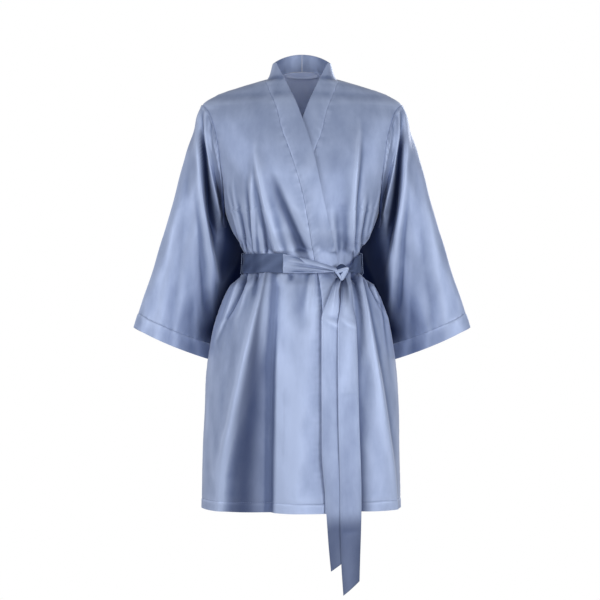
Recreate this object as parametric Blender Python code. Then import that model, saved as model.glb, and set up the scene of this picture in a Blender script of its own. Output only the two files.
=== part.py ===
"""A short satin wrap robe as it hangs when worn, hollow, with its tie belt knotted.

The body of the robe is one smooth surface, skin(angle, drop): angle goes round the body (0 at the wearer's
left side, -90 degrees at the front, 90 at the back) and drop is the distance below the neck point. Every panel
is a patch of that surface between its seams, moved out for its layer, its folds and its thickness. The long
panels and the bands are in two pieces each, which meet beneath the belt.
The front faces -Y, up is +Z, and the origin is the point between the two neck points of the shoulder seams.
"""

from collections import namedtuple

import bpy
import numpy as np

# Cloth thickness and the space between pieces, in metres
CLOTH = 0.0014
BAND_CLOTH = 0.0020
SEAM_GAP = 0.0004
LAYER_GAP = 0.0006

# Lengths down from the neck point
HEM_DROP = 0.850
SHOULDER_DROP = 0.052
UNDERARM_DROP = 0.262
BELT_DROP = 0.366

ARMHOLE_DEPTH = 0.056
ARMHOLE_LAP = 0.003
BACK_NECK_RISE = 0.026
BACK_NECK_REACH = 0.120
COLLAR_STAND = 0.034
WRAP_LIFT = 0.0060

BELT_WIDTH = 0.040
BELT_OUT = 0.0046
KNOT_SIZE = (0.0112, 0.0110, 0.0131)
KNOT_X = 0.0768
KNOT_DROP = 0.3853
KNOT_OUT = 0.0219

Ring = namedtuple("Ring", "drop half_width front back roundness")
RINGS = [
    Ring(-0.040, 0.056, 0.030, 0.053, 2.0),
    Ring(0.000, 0.070, 0.044, 0.060, 2.0),
    Ring(0.006, 0.099, 0.047, 0.062, 1.75),
    Ring(0.014, 0.127, 0.051, 0.064, 1.65),
    Ring(0.030, 0.172, 0.059, 0.069, 1.65),
    Ring(0.052, 0.200, 0.073, 0.078, 1.90),
    Ring(0.090, 0.199, 0.088, 0.090, 2.2),
    Ring(0.145, 0.189, 0.106, 0.100, 2.2),
    Ring(0.200, 0.172, 0.115, 0.103, 2.2),
    Ring(0.260, 0.154, 0.114, 0.100, 2.1),
    Ring(0.300, 0.139, 0.107, 0.095, 2.1),
    Ring(0.346, 0.113, 0.090, 0.085, 2.1),
    Ring(0.384, 0.115, 0.089, 0.086, 2.1),
    Ring(0.413, 0.145, 0.102, 0.100, 2.1),
    Ring(0.444, 0.161, 0.110, 0.110, 2.15),
    Ring(0.513, 0.180, 0.119, 0.120, 2.2),
    Ring(0.624, 0.192, 0.124, 0.126, 2.2),
    Ring(0.850, 0.196, 0.126, 0.128, 2.2),
]

# The seam of the neck and front band, and the band's free edge: the wearer's left, the right is its mirror
Edge = namedtuple("Edge", "drop x")
BAND_SEAM = [
    Edge(0.003, 0.0725),
    Edge(0.035, 0.0605),
    Edge(0.070, 0.0475),
    Edge(0.104, 0.0400),
    Edge(0.150, 0.0235),
    Edge(0.231, -0.0010),
    Edge(0.350, -0.0220),
    Edge(0.450, -0.0380),
    Edge(0.850, -0.0430),
]
BAND_EDGE = [
    Edge(-0.034, 0.0510),
    Edge(0.030, 0.0210),
    Edge(0.081, 0.0010),
    Edge(0.154, -0.0222),
    Edge(0.245, -0.0416),
    Edge(0.329, -0.0603),
    Edge(0.400, -0.0730),
    Edge(0.450, -0.0810),
    Edge(0.850, -0.0860),
]
# How far the free edge lies above the seam point that it is square to
Square = namedtuple("Square", "drop above")
BAND_SQUARE = [
    Square(0.003, 0.037),
    Square(0.035, 0.030),
    Square(0.070, 0.016),
    Square(0.150, 0.014),
    Square(0.231, 0.009),
    Square(0.350, 0.007),
    Square(0.450, 0.002),
    Square(0.850, 0.000),
]

# Sleeve sections: the outer and inner end of each, and how far it swells to the front and to the back
Section = namedtuple("Section", "outer_x outer_y outer_drop inner_x inner_y inner_drop front back")
SLEEVE = [
    Section(0.201, 0.000, 0.052, 0.157, 0.000, 0.262, 0.052, 0.056),
    Section(0.215, 0.000, 0.090, 0.153, 0.019, 0.286, 0.050, 0.050),
    Section(0.229, -0.002, 0.140, 0.136, 0.052, 0.310, 0.048, 0.040),
    Section(0.247, -0.004, 0.205, 0.113, 0.080, 0.338, 0.046, 0.032),
    Section(0.266, -0.006, 0.278, 0.101, 0.098, 0.374, 0.045, 0.030),
    Section(0.290, -0.006, 0.358, 0.118, 0.110, 0.434, 0.043, 0.030),
    Section(0.316, -0.008, 0.438, 0.146, 0.114, 0.508, 0.041, 0.030),
    Section(0.334, -0.010, 0.492, 0.163, 0.110, 0.568, 0.039, 0.030),
]
# How much of the sleeve's fullness lies towards its outer edge
SLEEVE_LEAN = 0.55
# Clearance between a sleeve and the body, and how softly the sleeve bends round it
SLEEVE_CLEAR = 0.0028
SLEEVE_SOFT = 0.0030
CUFF_SHARE = 0.925

# Folds of the body: the path at top, middle and low end, the height and the width to either side at both ends
Fold = namedtuple("Fold", "top_x top_drop mid_x low_x low_drop high_top high_low left_top left_low right_top right_low")
FRONT_FOLDS = [
    # the long cone that falls from the belt over the wearer's right thigh, and the trough beside it
    Fold(-0.060, 0.386, -0.096, -0.160, 0.780, 0.009, 0.010, 0.014, 0.032, 0.008, 0.030),
    Fold(-0.050, 0.415, -0.054, -0.060, 0.850, -0.009, -0.020, 0.012, 0.042, 0.010, 0.020),
    # the valley inside the wearer's right hip and the short notch below the belt
    Fold(-0.108, 0.388, -0.130, -0.156, 0.480, -0.007, -0.003, 0.010, 0.012, 0.010, 0.014),
    Fold(-0.084, 0.384, -0.087, -0.092, 0.440, -0.005, -0.001, 0.007, 0.009, 0.007, 0.009),
    # the flare beside the tail and the folds over the wearer's left hip
    Fold(0.026, 0.388, 0.020, 0.014, 0.520, 0.004, 0.003, 0.012, 0.018, 0.009, 0.016),
    Fold(0.098, 0.386, 0.110, 0.116, 0.530, -0.006, -0.002, 0.009, 0.010, 0.007, 0.010),
    Fold(0.122, 0.386, 0.142, 0.160, 0.460, -0.006, -0.003, 0.008, 0.012, 0.008, 0.012),
    Fold(0.114, 0.404, 0.152, 0.186, 0.790, 0.006, 0.004, 0.014, 0.024, 0.009, 0.020),
    Fold(0.128, 0.560, 0.118, 0.112, 0.850, -0.003, -0.010, 0.020, 0.034, 0.020, 0.030),
    # bodice: ridges drawn into the belt from the wearer's right shoulder
    Fold(-0.090, 0.150, -0.068, -0.036, 0.352, 0.003, 0.005, 0.014, 0.010, 0.010, 0.007),
    Fold(-0.098, 0.215, -0.093, -0.087, 0.350, 0.002, 0.004, 0.010, 0.008, 0.008, 0.006),
    Fold(-0.074, 0.280, -0.067, -0.058, 0.352, -0.002, -0.005, 0.008, 0.006, 0.008, 0.006),
    Fold(-0.022, 0.262, -0.004, 0.018, 0.356, -0.001, -0.006, 0.012, 0.010, 0.008, 0.007),
    # bodice: the long ridge under the wearer's left chest and the fold at the side
    Fold(0.106, 0.140, 0.100, 0.093, 0.352, 0.004, 0.005, 0.018, 0.012, 0.010, 0.008),
    Fold(0.118, 0.230, 0.112, 0.106, 0.350, -0.003, -0.005, 0.008, 0.007, 0.012, 0.008),
    Fold(0.070, 0.270, 0.072, 0.076, 0.352, -0.001, -0.004, 0.012, 0.009, 0.012, 0.009),
]
BACK_FOLDS = [
    # skirt: four uneven cones below the belt with troughs between them
    Fold(-0.078, 0.386, -0.108, -0.138, 0.800, 0.006, 0.008, 0.014, 0.034, 0.009, 0.026),
    Fold(-0.048, 0.392, -0.066, -0.084, 0.850, -0.006, -0.011, 0.012, 0.030, 0.010, 0.026),
    Fold(-0.016, 0.386, -0.022, -0.030, 0.760, 0.005, 0.006, 0.013, 0.026, 0.012, 0.030),
    Fold(0.018, 0.390, 0.024, 0.032, 0.850, -0.005, -0.012, 0.011, 0.030, 0.012, 0.034),
    Fold(0.052, 0.386, 0.074, 0.096, 0.820, 0.006, 0.008, 0.012, 0.028, 0.014, 0.032),
    Fold(0.084, 0.388, 0.114, 0.144, 0.700, -0.006, -0.005, 0.010, 0.020, 0.010, 0.022),
    # bodice: cloth bloused above the belt
    Fold(-0.086, 0.160, -0.076, -0.066, 0.352, 0.003, 0.006, 0.020, 0.011, 0.016, 0.009),
    Fold(-0.034, 0.200, -0.036, -0.040, 0.352, -0.002, -0.006, 0.018, 0.010, 0.018, 0.010),
    Fold(0.004, 0.220, 0.000, -0.006, 0.352, 0.002, 0.005, 0.020, 0.012, 0.018, 0.010),
    Fold(0.046, 0.180, 0.042, 0.036, 0.352, -0.002, -0.006, 0.018, 0.010, 0.020, 0.011),
    Fold(0.090, 0.170, 0.080, 0.070, 0.352, 0.003, 0.006, 0.018, 0.010, 0.020, 0.012),
]

# Folds of the wearer's left sleeve, seen from the front and from the back; the right sleeve is its mirror
SLEEVE_FRONT_FOLDS = [
    # the long edge where the cloth turns in towards the body, the deep valley behind it, the pucker by the seam
    Fold(0.203, 0.085, 0.184, 0.158, 0.400, 0.003, 0.006, 0.009, 0.014, 0.008, 0.016),
    Fold(0.198, 0.100, 0.183, 0.160, 0.300, -0.006, -0.012, 0.008, 0.013, 0.007, 0.010),
    Fold(0.191, 0.070, 0.179, 0.160, 0.250, 0.002, 0.004, 0.008, 0.008, 0.007, 0.008),
    # long soft folds from the elbow to the mouth
    Fold(0.226, 0.160, 0.240, 0.262, 0.500, -0.002, -0.004, 0.014, 0.018, 0.014, 0.018),
    Fold(0.206, 0.300, 0.214, 0.224, 0.560, -0.001, -0.005, 0.012, 0.016, 0.012, 0.016),
    Fold(0.250, 0.240, 0.272, 0.298, 0.560, 0.002, 0.003, 0.014, 0.016, 0.014, 0.016),
]
SLEEVE_BACK_FOLDS = [
    Fold(0.205, 0.080, 0.190, 0.166, 0.360, 0.003, 0.006, 0.012, 0.016, 0.012, 0.016),
    Fold(0.188, 0.110, 0.170, 0.146, 0.330, -0.005, -0.008, 0.010, 0.014, 0.010, 0.014),
    Fold(0.230, 0.180, 0.246, 0.270, 0.540, -0.002, -0.004, 0.016, 0.020, 0.016, 0.020),
    Fold(0.180, 0.340, 0.196, 0.206, 0.580, -0.001, -0.005, 0.014, 0.018, 0.014, 0.018),
]

# Rows shared by every panel of the body, so that neighbours meet point for point
PANEL_DROPS = [
    0.003, 0.009, 0.018, 0.032, 0.052, 0.066, 0.084, 0.106, 0.132, 0.160, 0.190, 0.218, 0.242, 0.262, 0.284, 0.308,
    0.330, 0.347, 0.366, 0.385, 0.392, 0.402, 0.416, 0.438, 0.468, 0.505, 0.555, 0.620, 0.695, 0.770, 0.850,
]
NECK_TURNS = 7
FRONT_RIGHT_COLUMNS = 20
FRONT_LEFT_COLUMNS = 17
BACK_COLUMNS = 28
BAND_COLUMNS = 4
SLEEVE_ROWS = 19
SLEEVE_TURNS = 24

# Belt stretches: where the middle line is, its half width and how far it lies outside the bare body
Stretch = namedtuple("Stretch", "x drop half_width out")
BELT_FRONT = [
    Stretch(-0.0370, 0.3680, 0.0200, 0.0125),
    Stretch(-0.0100, 0.3710, 0.0180, 0.0130),
    Stretch(0.0200, 0.3750, 0.0145, 0.0140),
    Stretch(0.0450, 0.3790, 0.0105, 0.0155),
    Stretch(0.0652, 0.3826, 0.0066, 0.0200),
]
BELT_END = [
    Stretch(0.0882, 0.3830, 0.0065, 0.0215),
    Stretch(0.0980, 0.3800, 0.0110, 0.0120),
    Stretch(0.1080, 0.3720, 0.0170, 0.0070),
    Stretch(0.1160, 0.3670, 0.0195, 0.0045),
]
Tail = namedtuple("Tail", "drop x half_width out")
TAIL_UNDER = [
    Tail(0.3958, 0.0715, 0.0055, 0.0195),
    Tail(0.4190, 0.0640, 0.0075, 0.0160),
    Tail(0.4450, 0.0600, 0.0140, 0.0150),
    Tail(0.4750, 0.0570, 0.0195, 0.0155),
    Tail(0.7250, 0.0575, 0.0200, 0.0160),
    Tail(0.8200, 0.0640, 0.0195, 0.0150),
    Tail(0.8900, 0.0690, 0.0190, 0.0120),
    Tail(0.9480, 0.0730, 0.0170, 0.0100),
]
TAIL_UPPER = [
    Tail(0.3957, 0.0828, 0.0055, 0.0220),
    Tail(0.4190, 0.0855, 0.0095, 0.0190),
    Tail(0.4480, 0.0860, 0.0115, 0.0200),
    Tail(0.4900, 0.0868, 0.0180, 0.0205),
    Tail(0.6650, 0.0896, 0.0203, 0.0205),
    Tail(0.8200, 0.0935, 0.0210, 0.0195),
    Tail(0.9200, 0.0935, 0.0190, 0.0165),
    Tail(0.9940, 0.0950, 0.0155, 0.0145),
]
TAIL_ROWS = 26
TAIL_COLUMNS = 5
TAIL_SLANT = 0.0130

SATIN = (0.36, 0.47, 0.66)
SATIN_SHADE = (0.30, 0.40, 0.60)
THREAD = (0.45, 0.56, 0.74)


def smooth(low, high, value):
    """0 below low, 1 above high and an S curve between."""
    share = np.clip((value - low) / (high - low), 0, 1)
    return share * share * (3 - 2 * share)


def curve(stations, values, at):
    """Cubic curve through a table whose slopes are held so that it never overshoots."""
    stations, values = np.asarray(stations, float), np.asarray(values, float)
    step = np.diff(stations)
    rise = np.diff(values) / step
    near, far = 2 * step[1:] + step[:-1], step[1:] + 2 * step[:-1]
    same_way = rise[:-1] * rise[1:] > 0
    safe = np.where(same_way, rise[:-1], 1), np.where(same_way, rise[1:], 1)
    slope = np.empty_like(values)
    slope[1:-1] = np.where(same_way, (near + far) / (near / safe[0] + far / safe[1]), 0)
    slope[0], slope[-1] = rise[0], rise[-1]
    at = np.clip(at, stations[0], stations[-1])
    k = np.clip(np.searchsorted(stations, at, side="right") - 1, 0, len(step) - 1)
    t = (at - stations[k]) / step[k]
    ends = values[k] * (1 + 2 * t) * (1 - t) ** 2 + values[k + 1] * t * t * (3 - 2 * t)
    return ends + step[k] * (slope[k] * t * (1 - t) ** 2 - slope[k + 1] * t * t * (1 - t))


def column(table, name, station, at):
    """One column of a table of rows, read as a smooth curve at the given stations."""
    return curve([getattr(row, station) for row in table], [getattr(row, name) for row in table], at)


def ring(drop):
    """Half width, front depth, back depth and roundness of the body's level section."""
    return [column(RINGS, name, "drop", drop) for name in Ring._fields[1:]]


def power(value, exponent):
    """A signed power."""
    return np.sign(value) * np.abs(value) ** exponent


def bare(angle, drop):
    """Point of the bare body: a rounded ring at each drop, with the back of the neck raised."""
    angle, drop = np.broadcast_arrays(np.asarray(angle, float), np.asarray(drop, float))
    half_width, front, back, roundness = ring(drop)
    x = half_width * power(np.cos(angle), 2 / roundness)
    y = np.where(np.sin(angle) < 0, front, back) * power(np.sin(angle), 2 / roundness)
    behind = np.clip(np.sin(angle), 0, 1) ** 1.5
    lift = BACK_NECK_RISE * behind * (1 - smooth(-0.01, BACK_NECK_REACH, drop))
    return np.stack([x, y, lift - drop], -1)


def outward(angle, drop):
    """Unit vector square to the bare body, from small steps round it and down it."""
    tiny = 1e-4
    around = bare(angle + 10 * tiny, drop) - bare(angle - 10 * tiny, drop)
    down = bare(angle, drop + tiny) - bare(angle, drop - tiny)
    normal = np.cross(down, around)
    return normal / np.maximum(np.linalg.norm(normal, axis=-1, keepdims=True), 1e-12)


def skin(angle, drop, out):
    """Point of the body's surface moved out by a distance."""
    return bare(angle, drop) + outward(angle, drop) * np.asarray(out)[..., None]


def front_angle(x, drop):
    """Angle at which the front of the ring at this drop reaches x."""
    half_width, _, _, roundness = ring(drop)
    return -np.arccos(power(np.clip(x / half_width, -1, 1), roundness / 2))


def depth_angle(y, drop, front=True):
    """Angle from the side at which the ring reaches the depth y before or behind the side seam."""
    _, ahead, behind, roundness = ring(drop)
    return np.arcsin(np.clip(y / (ahead if front else behind), 0, 1) ** (roundness / 2))


def front_angle_beneath(x, drop, out):
    """Angle at which a point this far out from the front of the body has the given x."""
    angle = front_angle(x, drop)
    for _ in range(3):
        angle = front_angle(x - outward(angle, drop)[..., 0] * out, drop)
    return angle


def fold_path(fold, drop):
    """Share of the way down a fold and the x of its path: a bow through its top, middle and low end."""
    t = np.clip((drop - fold.top_drop) / (fold.low_drop - fold.top_drop), 0, 1)
    x = (1 - t) * (1 - 2 * t) * fold.top_x + 4 * t * (1 - t) * fold.mid_x + t * (2 * t - 1) * fold.low_x
    return t, x


def fold_section(fold, x, drop, path_x=None, stretch=1.0):
    """Bell across a fold's path, uneven on its two sides, and the fold's height, which fades at both ends."""
    t, own_x = fold_path(fold, drop)
    away = (x - (own_x if path_x is None else path_x)) * stretch
    left = fold.left_top + (fold.left_low - fold.left_top) * t
    right = fold.right_top + (fold.right_low - fold.right_top) * t
    bell = np.exp(-np.abs(away / np.where(away < 0, left, right)) ** 1.7)
    high = fold.high_top + (fold.high_low - fold.high_top) * t
    high = high * smooth(fold.top_drop - 0.02, fold.top_drop, drop)
    if fold.low_drop < HEM_DROP:
        reach = 0.22 * (fold.low_drop - fold.top_drop)
        high = high * (1 - smooth(fold.low_drop - reach, fold.low_drop + reach, drop))
    return bell, high


def fold_relief(fold, angle, drop, back):
    """Height of one fold of the body, its width measured along the body's ring."""
    half_width, ahead, behind, _ = ring(drop)
    _, x = fold_path(fold, drop)
    path = front_angle(x, drop)
    speed = np.hypot(half_width * np.sin(angle), np.where(back, behind, ahead) * np.cos(angle))
    stretch = speed / np.maximum(np.abs(np.sin(path)), 0.25)
    bell, high = fold_section(fold, np.cos(angle), drop, np.cos(path), stretch)
    return high * bell * smooth(-0.05, 0.12, np.sin(angle) if back else -np.sin(angle))


def gathers(angle, drop):
    """Small uneven ridges that the belt draws in above and below itself, all round."""
    total = np.zeros(np.broadcast(angle, drop).shape)
    count = 17
    for k in range(count):
        at = 2 * np.pi * (k + 0.33 * np.sin(2.4 * k)) / count
        high = 0.0014 + 0.0012 * np.sin(1.7 * k) ** 2
        reach = 0.030 + 0.022 * np.sin(0.9 * k + 1) ** 2
        turn = (angle - at + np.pi) % (2 * np.pi) - np.pi
        away = np.maximum(np.abs(drop - BELT_DROP) - BELT_WIDTH / 2, 0)
        total += high * np.exp(-((turn / 0.10) ** 2)) * np.exp(-((away / reach) ** 2))
    return total


def relief(angle, drop):
    """All folds of the body, pressed nearly flat where the belt lies on them."""
    angle, drop = np.broadcast_arrays(np.asarray(angle, float), np.asarray(drop, float))
    total = gathers(angle, drop)
    for folds, back in ((FRONT_FOLDS, False), (BACK_FOLDS, True)):
        for fold in folds:
            total = total + fold_relief(fold, angle, drop, back)
    pressed = np.exp(-np.abs((drop - BELT_DROP) / 0.031) ** 4)
    return total * (1 - 0.9 * pressed)


def wrap(angle, drop):
    """How far the wearer's right front is lifted where it lies over the left one."""
    from_right = angle % (2 * np.pi) - np.pi
    under_edge = column(BAND_EDGE, "x", "drop", drop)
    full = np.pi + front_angle(under_edge, drop) - 0.14
    across = smooth(0.62, np.maximum(full, 0.9), from_right)
    return WRAP_LIFT * across * smooth(0.004, 0.066, drop)


def new_object(name, points, faces, colour, roughness=0.38):
    """Mesh object with its own satin material, turned so that its faces point outwards."""
    corners = points[faces]
    volume = np.einsum("ij,ij->i", corners[:, 0], np.cross(corners[:, 1], corners[:, 2])).sum()
    if volume < 0:
        faces = faces[:, ::-1]
    mesh = bpy.data.meshes.new(name)
    mesh.from_pydata(points.tolist(), [], faces.tolist())
    mesh.shade_smooth()
    material = bpy.data.materials.new(name)
    material.use_nodes = True
    shader = material.node_tree.nodes["Principled BSDF"]
    shader.inputs["Base Color"].default_value = (*colour, 1)
    shader.inputs["Roughness"].default_value = roughness
    mesh.materials.append(material)
    new = bpy.data.objects.new(name, mesh)
    bpy.context.collection.objects.link(new)
    return new


def cells(rows, columns, around):
    """Two triangles for each cell of a grid of rows by columns, closed round when around is set."""
    wide = columns if around else columns - 1
    i, j = np.meshgrid(np.arange(rows - 1), np.arange(wide), indexing="ij")
    a, b = i * columns + j, i * columns + (j + 1) % columns
    c, d = b + columns, a + columns
    return np.concatenate([np.stack([a, b, c], -1).reshape(-1, 3), np.stack([a, c, d], -1).reshape(-1, 3)])


def rim(rows, columns, around):
    """The open edges of the grid, as loops of point numbers."""
    number = np.arange(rows * columns).reshape(rows, columns)
    if around:
        return [np.append(number[0], number[0, 0]), np.append(number[-1], number[-1, 0])[::-1]]
    return [np.concatenate([number[0], number[1:, -1], number[-1, -2::-1], number[-2::-1, 0]])]


def closed_wall(name, outer, inner, colour, around=False):
    """A wall of cloth between two grids of points, joined along their open edges."""
    rows, columns = outer.shape[:2]
    faces = cells(rows, columns, around)
    count = rows * columns
    parts = [faces, faces[:, ::-1] + count]
    for loop in rim(rows, columns, around):
        here, there = loop[:-1], loop[1:]
        parts += [np.stack([there, here, here + count], -1), np.stack([there, here + count, there + count], -1)]
    points = np.concatenate([outer.reshape(-1, 3), inner.reshape(-1, 3)])
    return new_object(name, points, np.concatenate(parts), colour)


def skin_wall(name, angle, drop, out, thickness, colour):
    """A patch of the body's surface as a wall, its middle the given distance out."""
    outer = skin(angle, drop, out + thickness / 2)
    inner = skin(angle, drop, out - thickness / 2)
    return closed_wall(name, outer, inner, colour)


def grid_normals(grid, around=False):
    """Unit vectors square to a grid of points."""
    down = np.gradient(grid, axis=0)
    across = np.gradient(grid, axis=1)
    if around:
        across = (np.roll(grid, -1, 1) - np.roll(grid, 1, 1)) / 2
    normal = np.cross(down, across)
    return normal / np.maximum(np.linalg.norm(normal, axis=-1, keepdims=True), 1e-12)


def sheet_wall(name, middle, thickness, colour, around=False):
    """A wall of the given thickness round a grid of middle points."""
    step = grid_normals(middle, around) * thickness / 2
    return closed_wall(name, middle + step, middle - step, colour, around)


def side_angle(drop, front):
    """How far a panel's edge stays from the side: the seam's gap, or the armhole's oval."""
    half = (UNDERARM_DROP - SHOULDER_DROP) / 2
    middle = (UNDERARM_DROP + SHOULDER_DROP) / 2
    oval = np.sqrt(np.clip(1 - ((drop - middle) / half) ** 2, 0, 1))
    return depth_angle(SEAM_GAP / 2 + ARMHOLE_DEPTH * oval, drop, front)


def between(start, end, columns):
    """Evenly spaced values from one column of values to another."""
    return start[:, None] + (end - start)[:, None] * np.linspace(0, 1, columns)


def parted(angle, level):
    """The rows of a long panel above and below the belt's middle line, a seam's gap apart beneath the belt."""
    row = PANEL_DROPS.index(BELT_DROP) - len(PANEL_DROPS)
    upper, lower = level[:row + 1].copy(), level[row:].copy()
    upper[-1] -= SEAM_GAP / 2
    lower[0] += SEAM_GAP / 2
    return ("_upper", angle[:row + 1], upper), ("_lower", angle[row:], lower)


def seam_shift(drop, distance):
    """The angle that moves a point on the band's seam sideways by a distance."""
    half_width, front, _, _ = ring(drop)
    x = column(BAND_SEAM, "x", "drop", drop)
    turn = front_angle(x, drop)
    return distance / np.hypot(half_width * np.sin(turn), front * np.cos(turn))


def body_panels():
    """The back and the two fronts; the right front lies over the left one."""
    drop = np.array(PANEL_DROPS)
    back_drop = np.append(SEAM_GAP / 2, drop[1:])
    seam = front_angle(column(BAND_SEAM, "x", "drop", drop), drop)
    inner_edge = seam + seam_shift(drop, SEAM_GAP / 2)
    left = between(inner_edge, -side_angle(drop, True), FRONT_LEFT_COLUMNS)
    right = -np.pi - between(inner_edge, -side_angle(drop, True), FRONT_RIGHT_COLUMNS)
    back_edge = side_angle(back_drop, False)
    back = between(back_edge, np.pi - back_edge, BACK_COLUMNS)
    pieces = ("front_left", left, drop, 0), ("front_right", right, drop, 1), ("back", back, back_drop, 0)
    for name, angle, rows, lifted in pieces:
        level = np.repeat(rows[:, None], angle.shape[1], 1)
        for part, turn, down in parted(angle, level):
            out = relief(turn, down) + lifted * wrap(turn, down)
            skin_wall(name + part, turn, down, out, CLOTH, SATIN)


def band_half(name, right):
    """Half of the neck and front band: from the centre back round the neck and down the front edge."""
    turns = np.linspace(np.pi / 2 - 0.003, 0, NECK_TURNS, endpoint=False)
    drop = np.array(PANEL_DROPS)
    seam_x = column(BAND_SEAM, "x", "drop", drop)
    edge_drop = drop - column(BAND_SQUARE, "above", "drop", drop)
    edge_x = column(BAND_EDGE, "x", "drop", edge_drop)
    seam_angle = np.concatenate([turns, front_angle(seam_x, drop) - seam_shift(drop, SEAM_GAP / 2)])
    edge_angle = np.concatenate([turns, front_angle(edge_x, edge_drop)])
    seam_drop = np.concatenate([np.full(NECK_TURNS, -SEAM_GAP / 2), drop])
    edge_drop = np.concatenate([np.full(NECK_TURNS, -COLLAR_STAND), edge_drop])
    angle = between(seam_angle, edge_angle, BAND_COLUMNS)
    level = between(seam_drop, edge_drop, BAND_COLUMNS)
    if right:
        angle = np.pi - angle
    for part, turn, down in parted(angle, level):
        lifted = wrap(turn, down) if right else CLOTH - BAND_CLOTH
        skin_wall(name + part, turn, down, relief(turn, down) + lifted, BAND_CLOTH, SATIN)


def armhole_loop(turn):
    """The sleeve's first ring: the armhole's oval, a little larger, lying on the body's panels."""
    half = (UNDERARM_DROP - SHOULDER_DROP) / 2 + ARMHOLE_LAP
    drop = (UNDERARM_DROP + SHOULDER_DROP) / 2 - half * np.cos(turn)
    depth = (ARMHOLE_DEPTH + ARMHOLE_LAP) * np.abs(np.sin(turn))
    front = np.sin(turn) > 0
    angle = np.where(front, -depth_angle(depth, drop, True), depth_angle(depth, drop, False))
    over_ridge = 0.0016 * smooth(0.35, 0.85, np.cos(turn))
    return skin(angle, drop, CLOTH + LAYER_GAP + over_ridge + relief(angle, drop))


def sleeve_ends(along):
    """The outer and inner end of the sleeve's section at each place along it."""
    station = np.linspace(0, 1, len(SLEEVE))
    read = {name: curve(station, [getattr(row, name) for row in SLEEVE], along) for name in Section._fields}
    outer = np.stack([read["outer_x"], read["outer_y"], -read["outer_drop"]], -1)
    inner = np.stack([read["inner_x"], read["inner_y"], -read["inner_drop"]], -1)
    return outer, inner, read["front"], read["back"]


def sleeve_points(along, turn):
    """The wearer's left sleeve: rounded sections from the table, melted into the armhole's oval at the top."""
    outer, inner, front, back = sleeve_ends(along)
    centre, half = (outer + inner) / 2, (outer - inner) / 2
    forward = np.stack([half[:, 1], -half[:, 0], np.zeros(len(half))], -1)
    forward /= np.linalg.norm(forward, axis=-1, keepdims=True)
    lean = 1 + SLEEVE_LEAN * np.cos(turn)
    swell = np.where(np.sin(turn) > 0, front[:, None] * lean, back[:, None]) * np.sin(turn)
    oval = half[:, None] * np.cos(turn)[None, :, None] + forward[:, None] * swell[..., None]
    loop = armhole_loop(turn) - centre[0]
    melt = smooth(0.0, 0.30, along)[:, None, None]
    return centre[:, None] + (1 - melt) * loop[None] + melt * oval


def sleeve_relief(points, turn):
    """Folds of the sleeve, each a bell across its path as seen from the front or from the back."""
    total = np.zeros(points.shape[:2])
    drop = -points[..., 2]
    for folds, facing in ((SLEEVE_FRONT_FOLDS, np.sin(turn)), (SLEEVE_BACK_FOLDS, -np.sin(turn))):
        for fold in folds:
            bell, high = fold_section(fold, points[..., 0], drop)
            total += high * bell * smooth(-0.1, 0.3, facing)
    return total


def sleeve_turns():
    """Places round the sleeve, closer together at the front, where most of its folds are."""
    even = np.linspace(0, 2 * np.pi, SLEEVE_TURNS, endpoint=False)
    return even - 0.36 * np.sin(even - np.radians(100)) - 0.36 * np.sin(np.radians(100))


def sleeve_middle(along):
    """Middle points of the left sleeve with its folds, rows along it and columns round it."""
    turn = sleeve_turns()
    points = sleeve_points(along, turn)
    normal = grid_normals(points, around=True)
    outside = np.sign(((points - points.mean(1, keepdims=True)) * normal).sum(-1, keepdims=True).mean())
    away = smooth(0.0, 0.05, along)[:, None]
    points = points + normal * outside * (sleeve_relief(points, turn) * away)[..., None]
    return beside_body(points, smooth(0.0, 0.12, along)[:, None])


def beside_body(points, share):
    """Moves a sleeve's points sideways where they would come nearer to the body than the clearance."""
    drop = -points[..., 2]
    ahead, behind = depth_angle(-points[..., 1], drop, True), depth_angle(points[..., 1], drop, False)
    angle = behind - ahead
    nearest = bare(angle, drop)[..., 0] + relief(angle, drop) + SLEEVE_CLEAR
    short = nearest - points[..., 0]
    push = (short + np.hypot(short, SLEEVE_SOFT)) / 2
    moved = points.copy()
    moved[..., 0] += share * np.where(np.abs(angle) < np.pi / 2, push, 0)
    return moved


def sleeves_and_cuffs():
    """Both sleeves and the band round each mouth."""
    body = np.linspace(0, 1, SLEEVE_ROWS) ** 1.3 * CUFF_SHARE
    gap = SEAM_GAP / 0.38
    cuff = np.linspace(CUFF_SHARE + gap, 1, 3)
    whole = sleeve_middle(np.concatenate([body, cuff]))
    for side, name in ((1, "left"), (-1, "right")):
        points = whole * (side, 1, 1)
        step = grid_normals(points, around=True) * CLOTH / 2
        rows = SLEEVE_ROWS
        closed_wall("sleeve_" + name, (points + step)[:rows], (points - step)[:rows], SATIN, True)
        step = step * (BAND_CLOTH / CLOTH)
        closed_wall("cuff_" + name, (points + step)[rows:], (points - step)[rows:], SATIN, True)


def ribbon(table, station, at):
    """Every column of a belt table at the given stations, by name."""
    return {name: column(table, name, station, at) for name in table[0]._fields}


def folded_out(across, half_width):
    """How far a ribbon bulges in its middle where it is gathered narrower than it was cut."""
    spare = np.sqrt(np.maximum((BELT_WIDTH / 2) ** 2 - half_width**2, 0))
    return 0.42 * spare[:, None] * (1 - across[None] ** 2)


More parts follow.
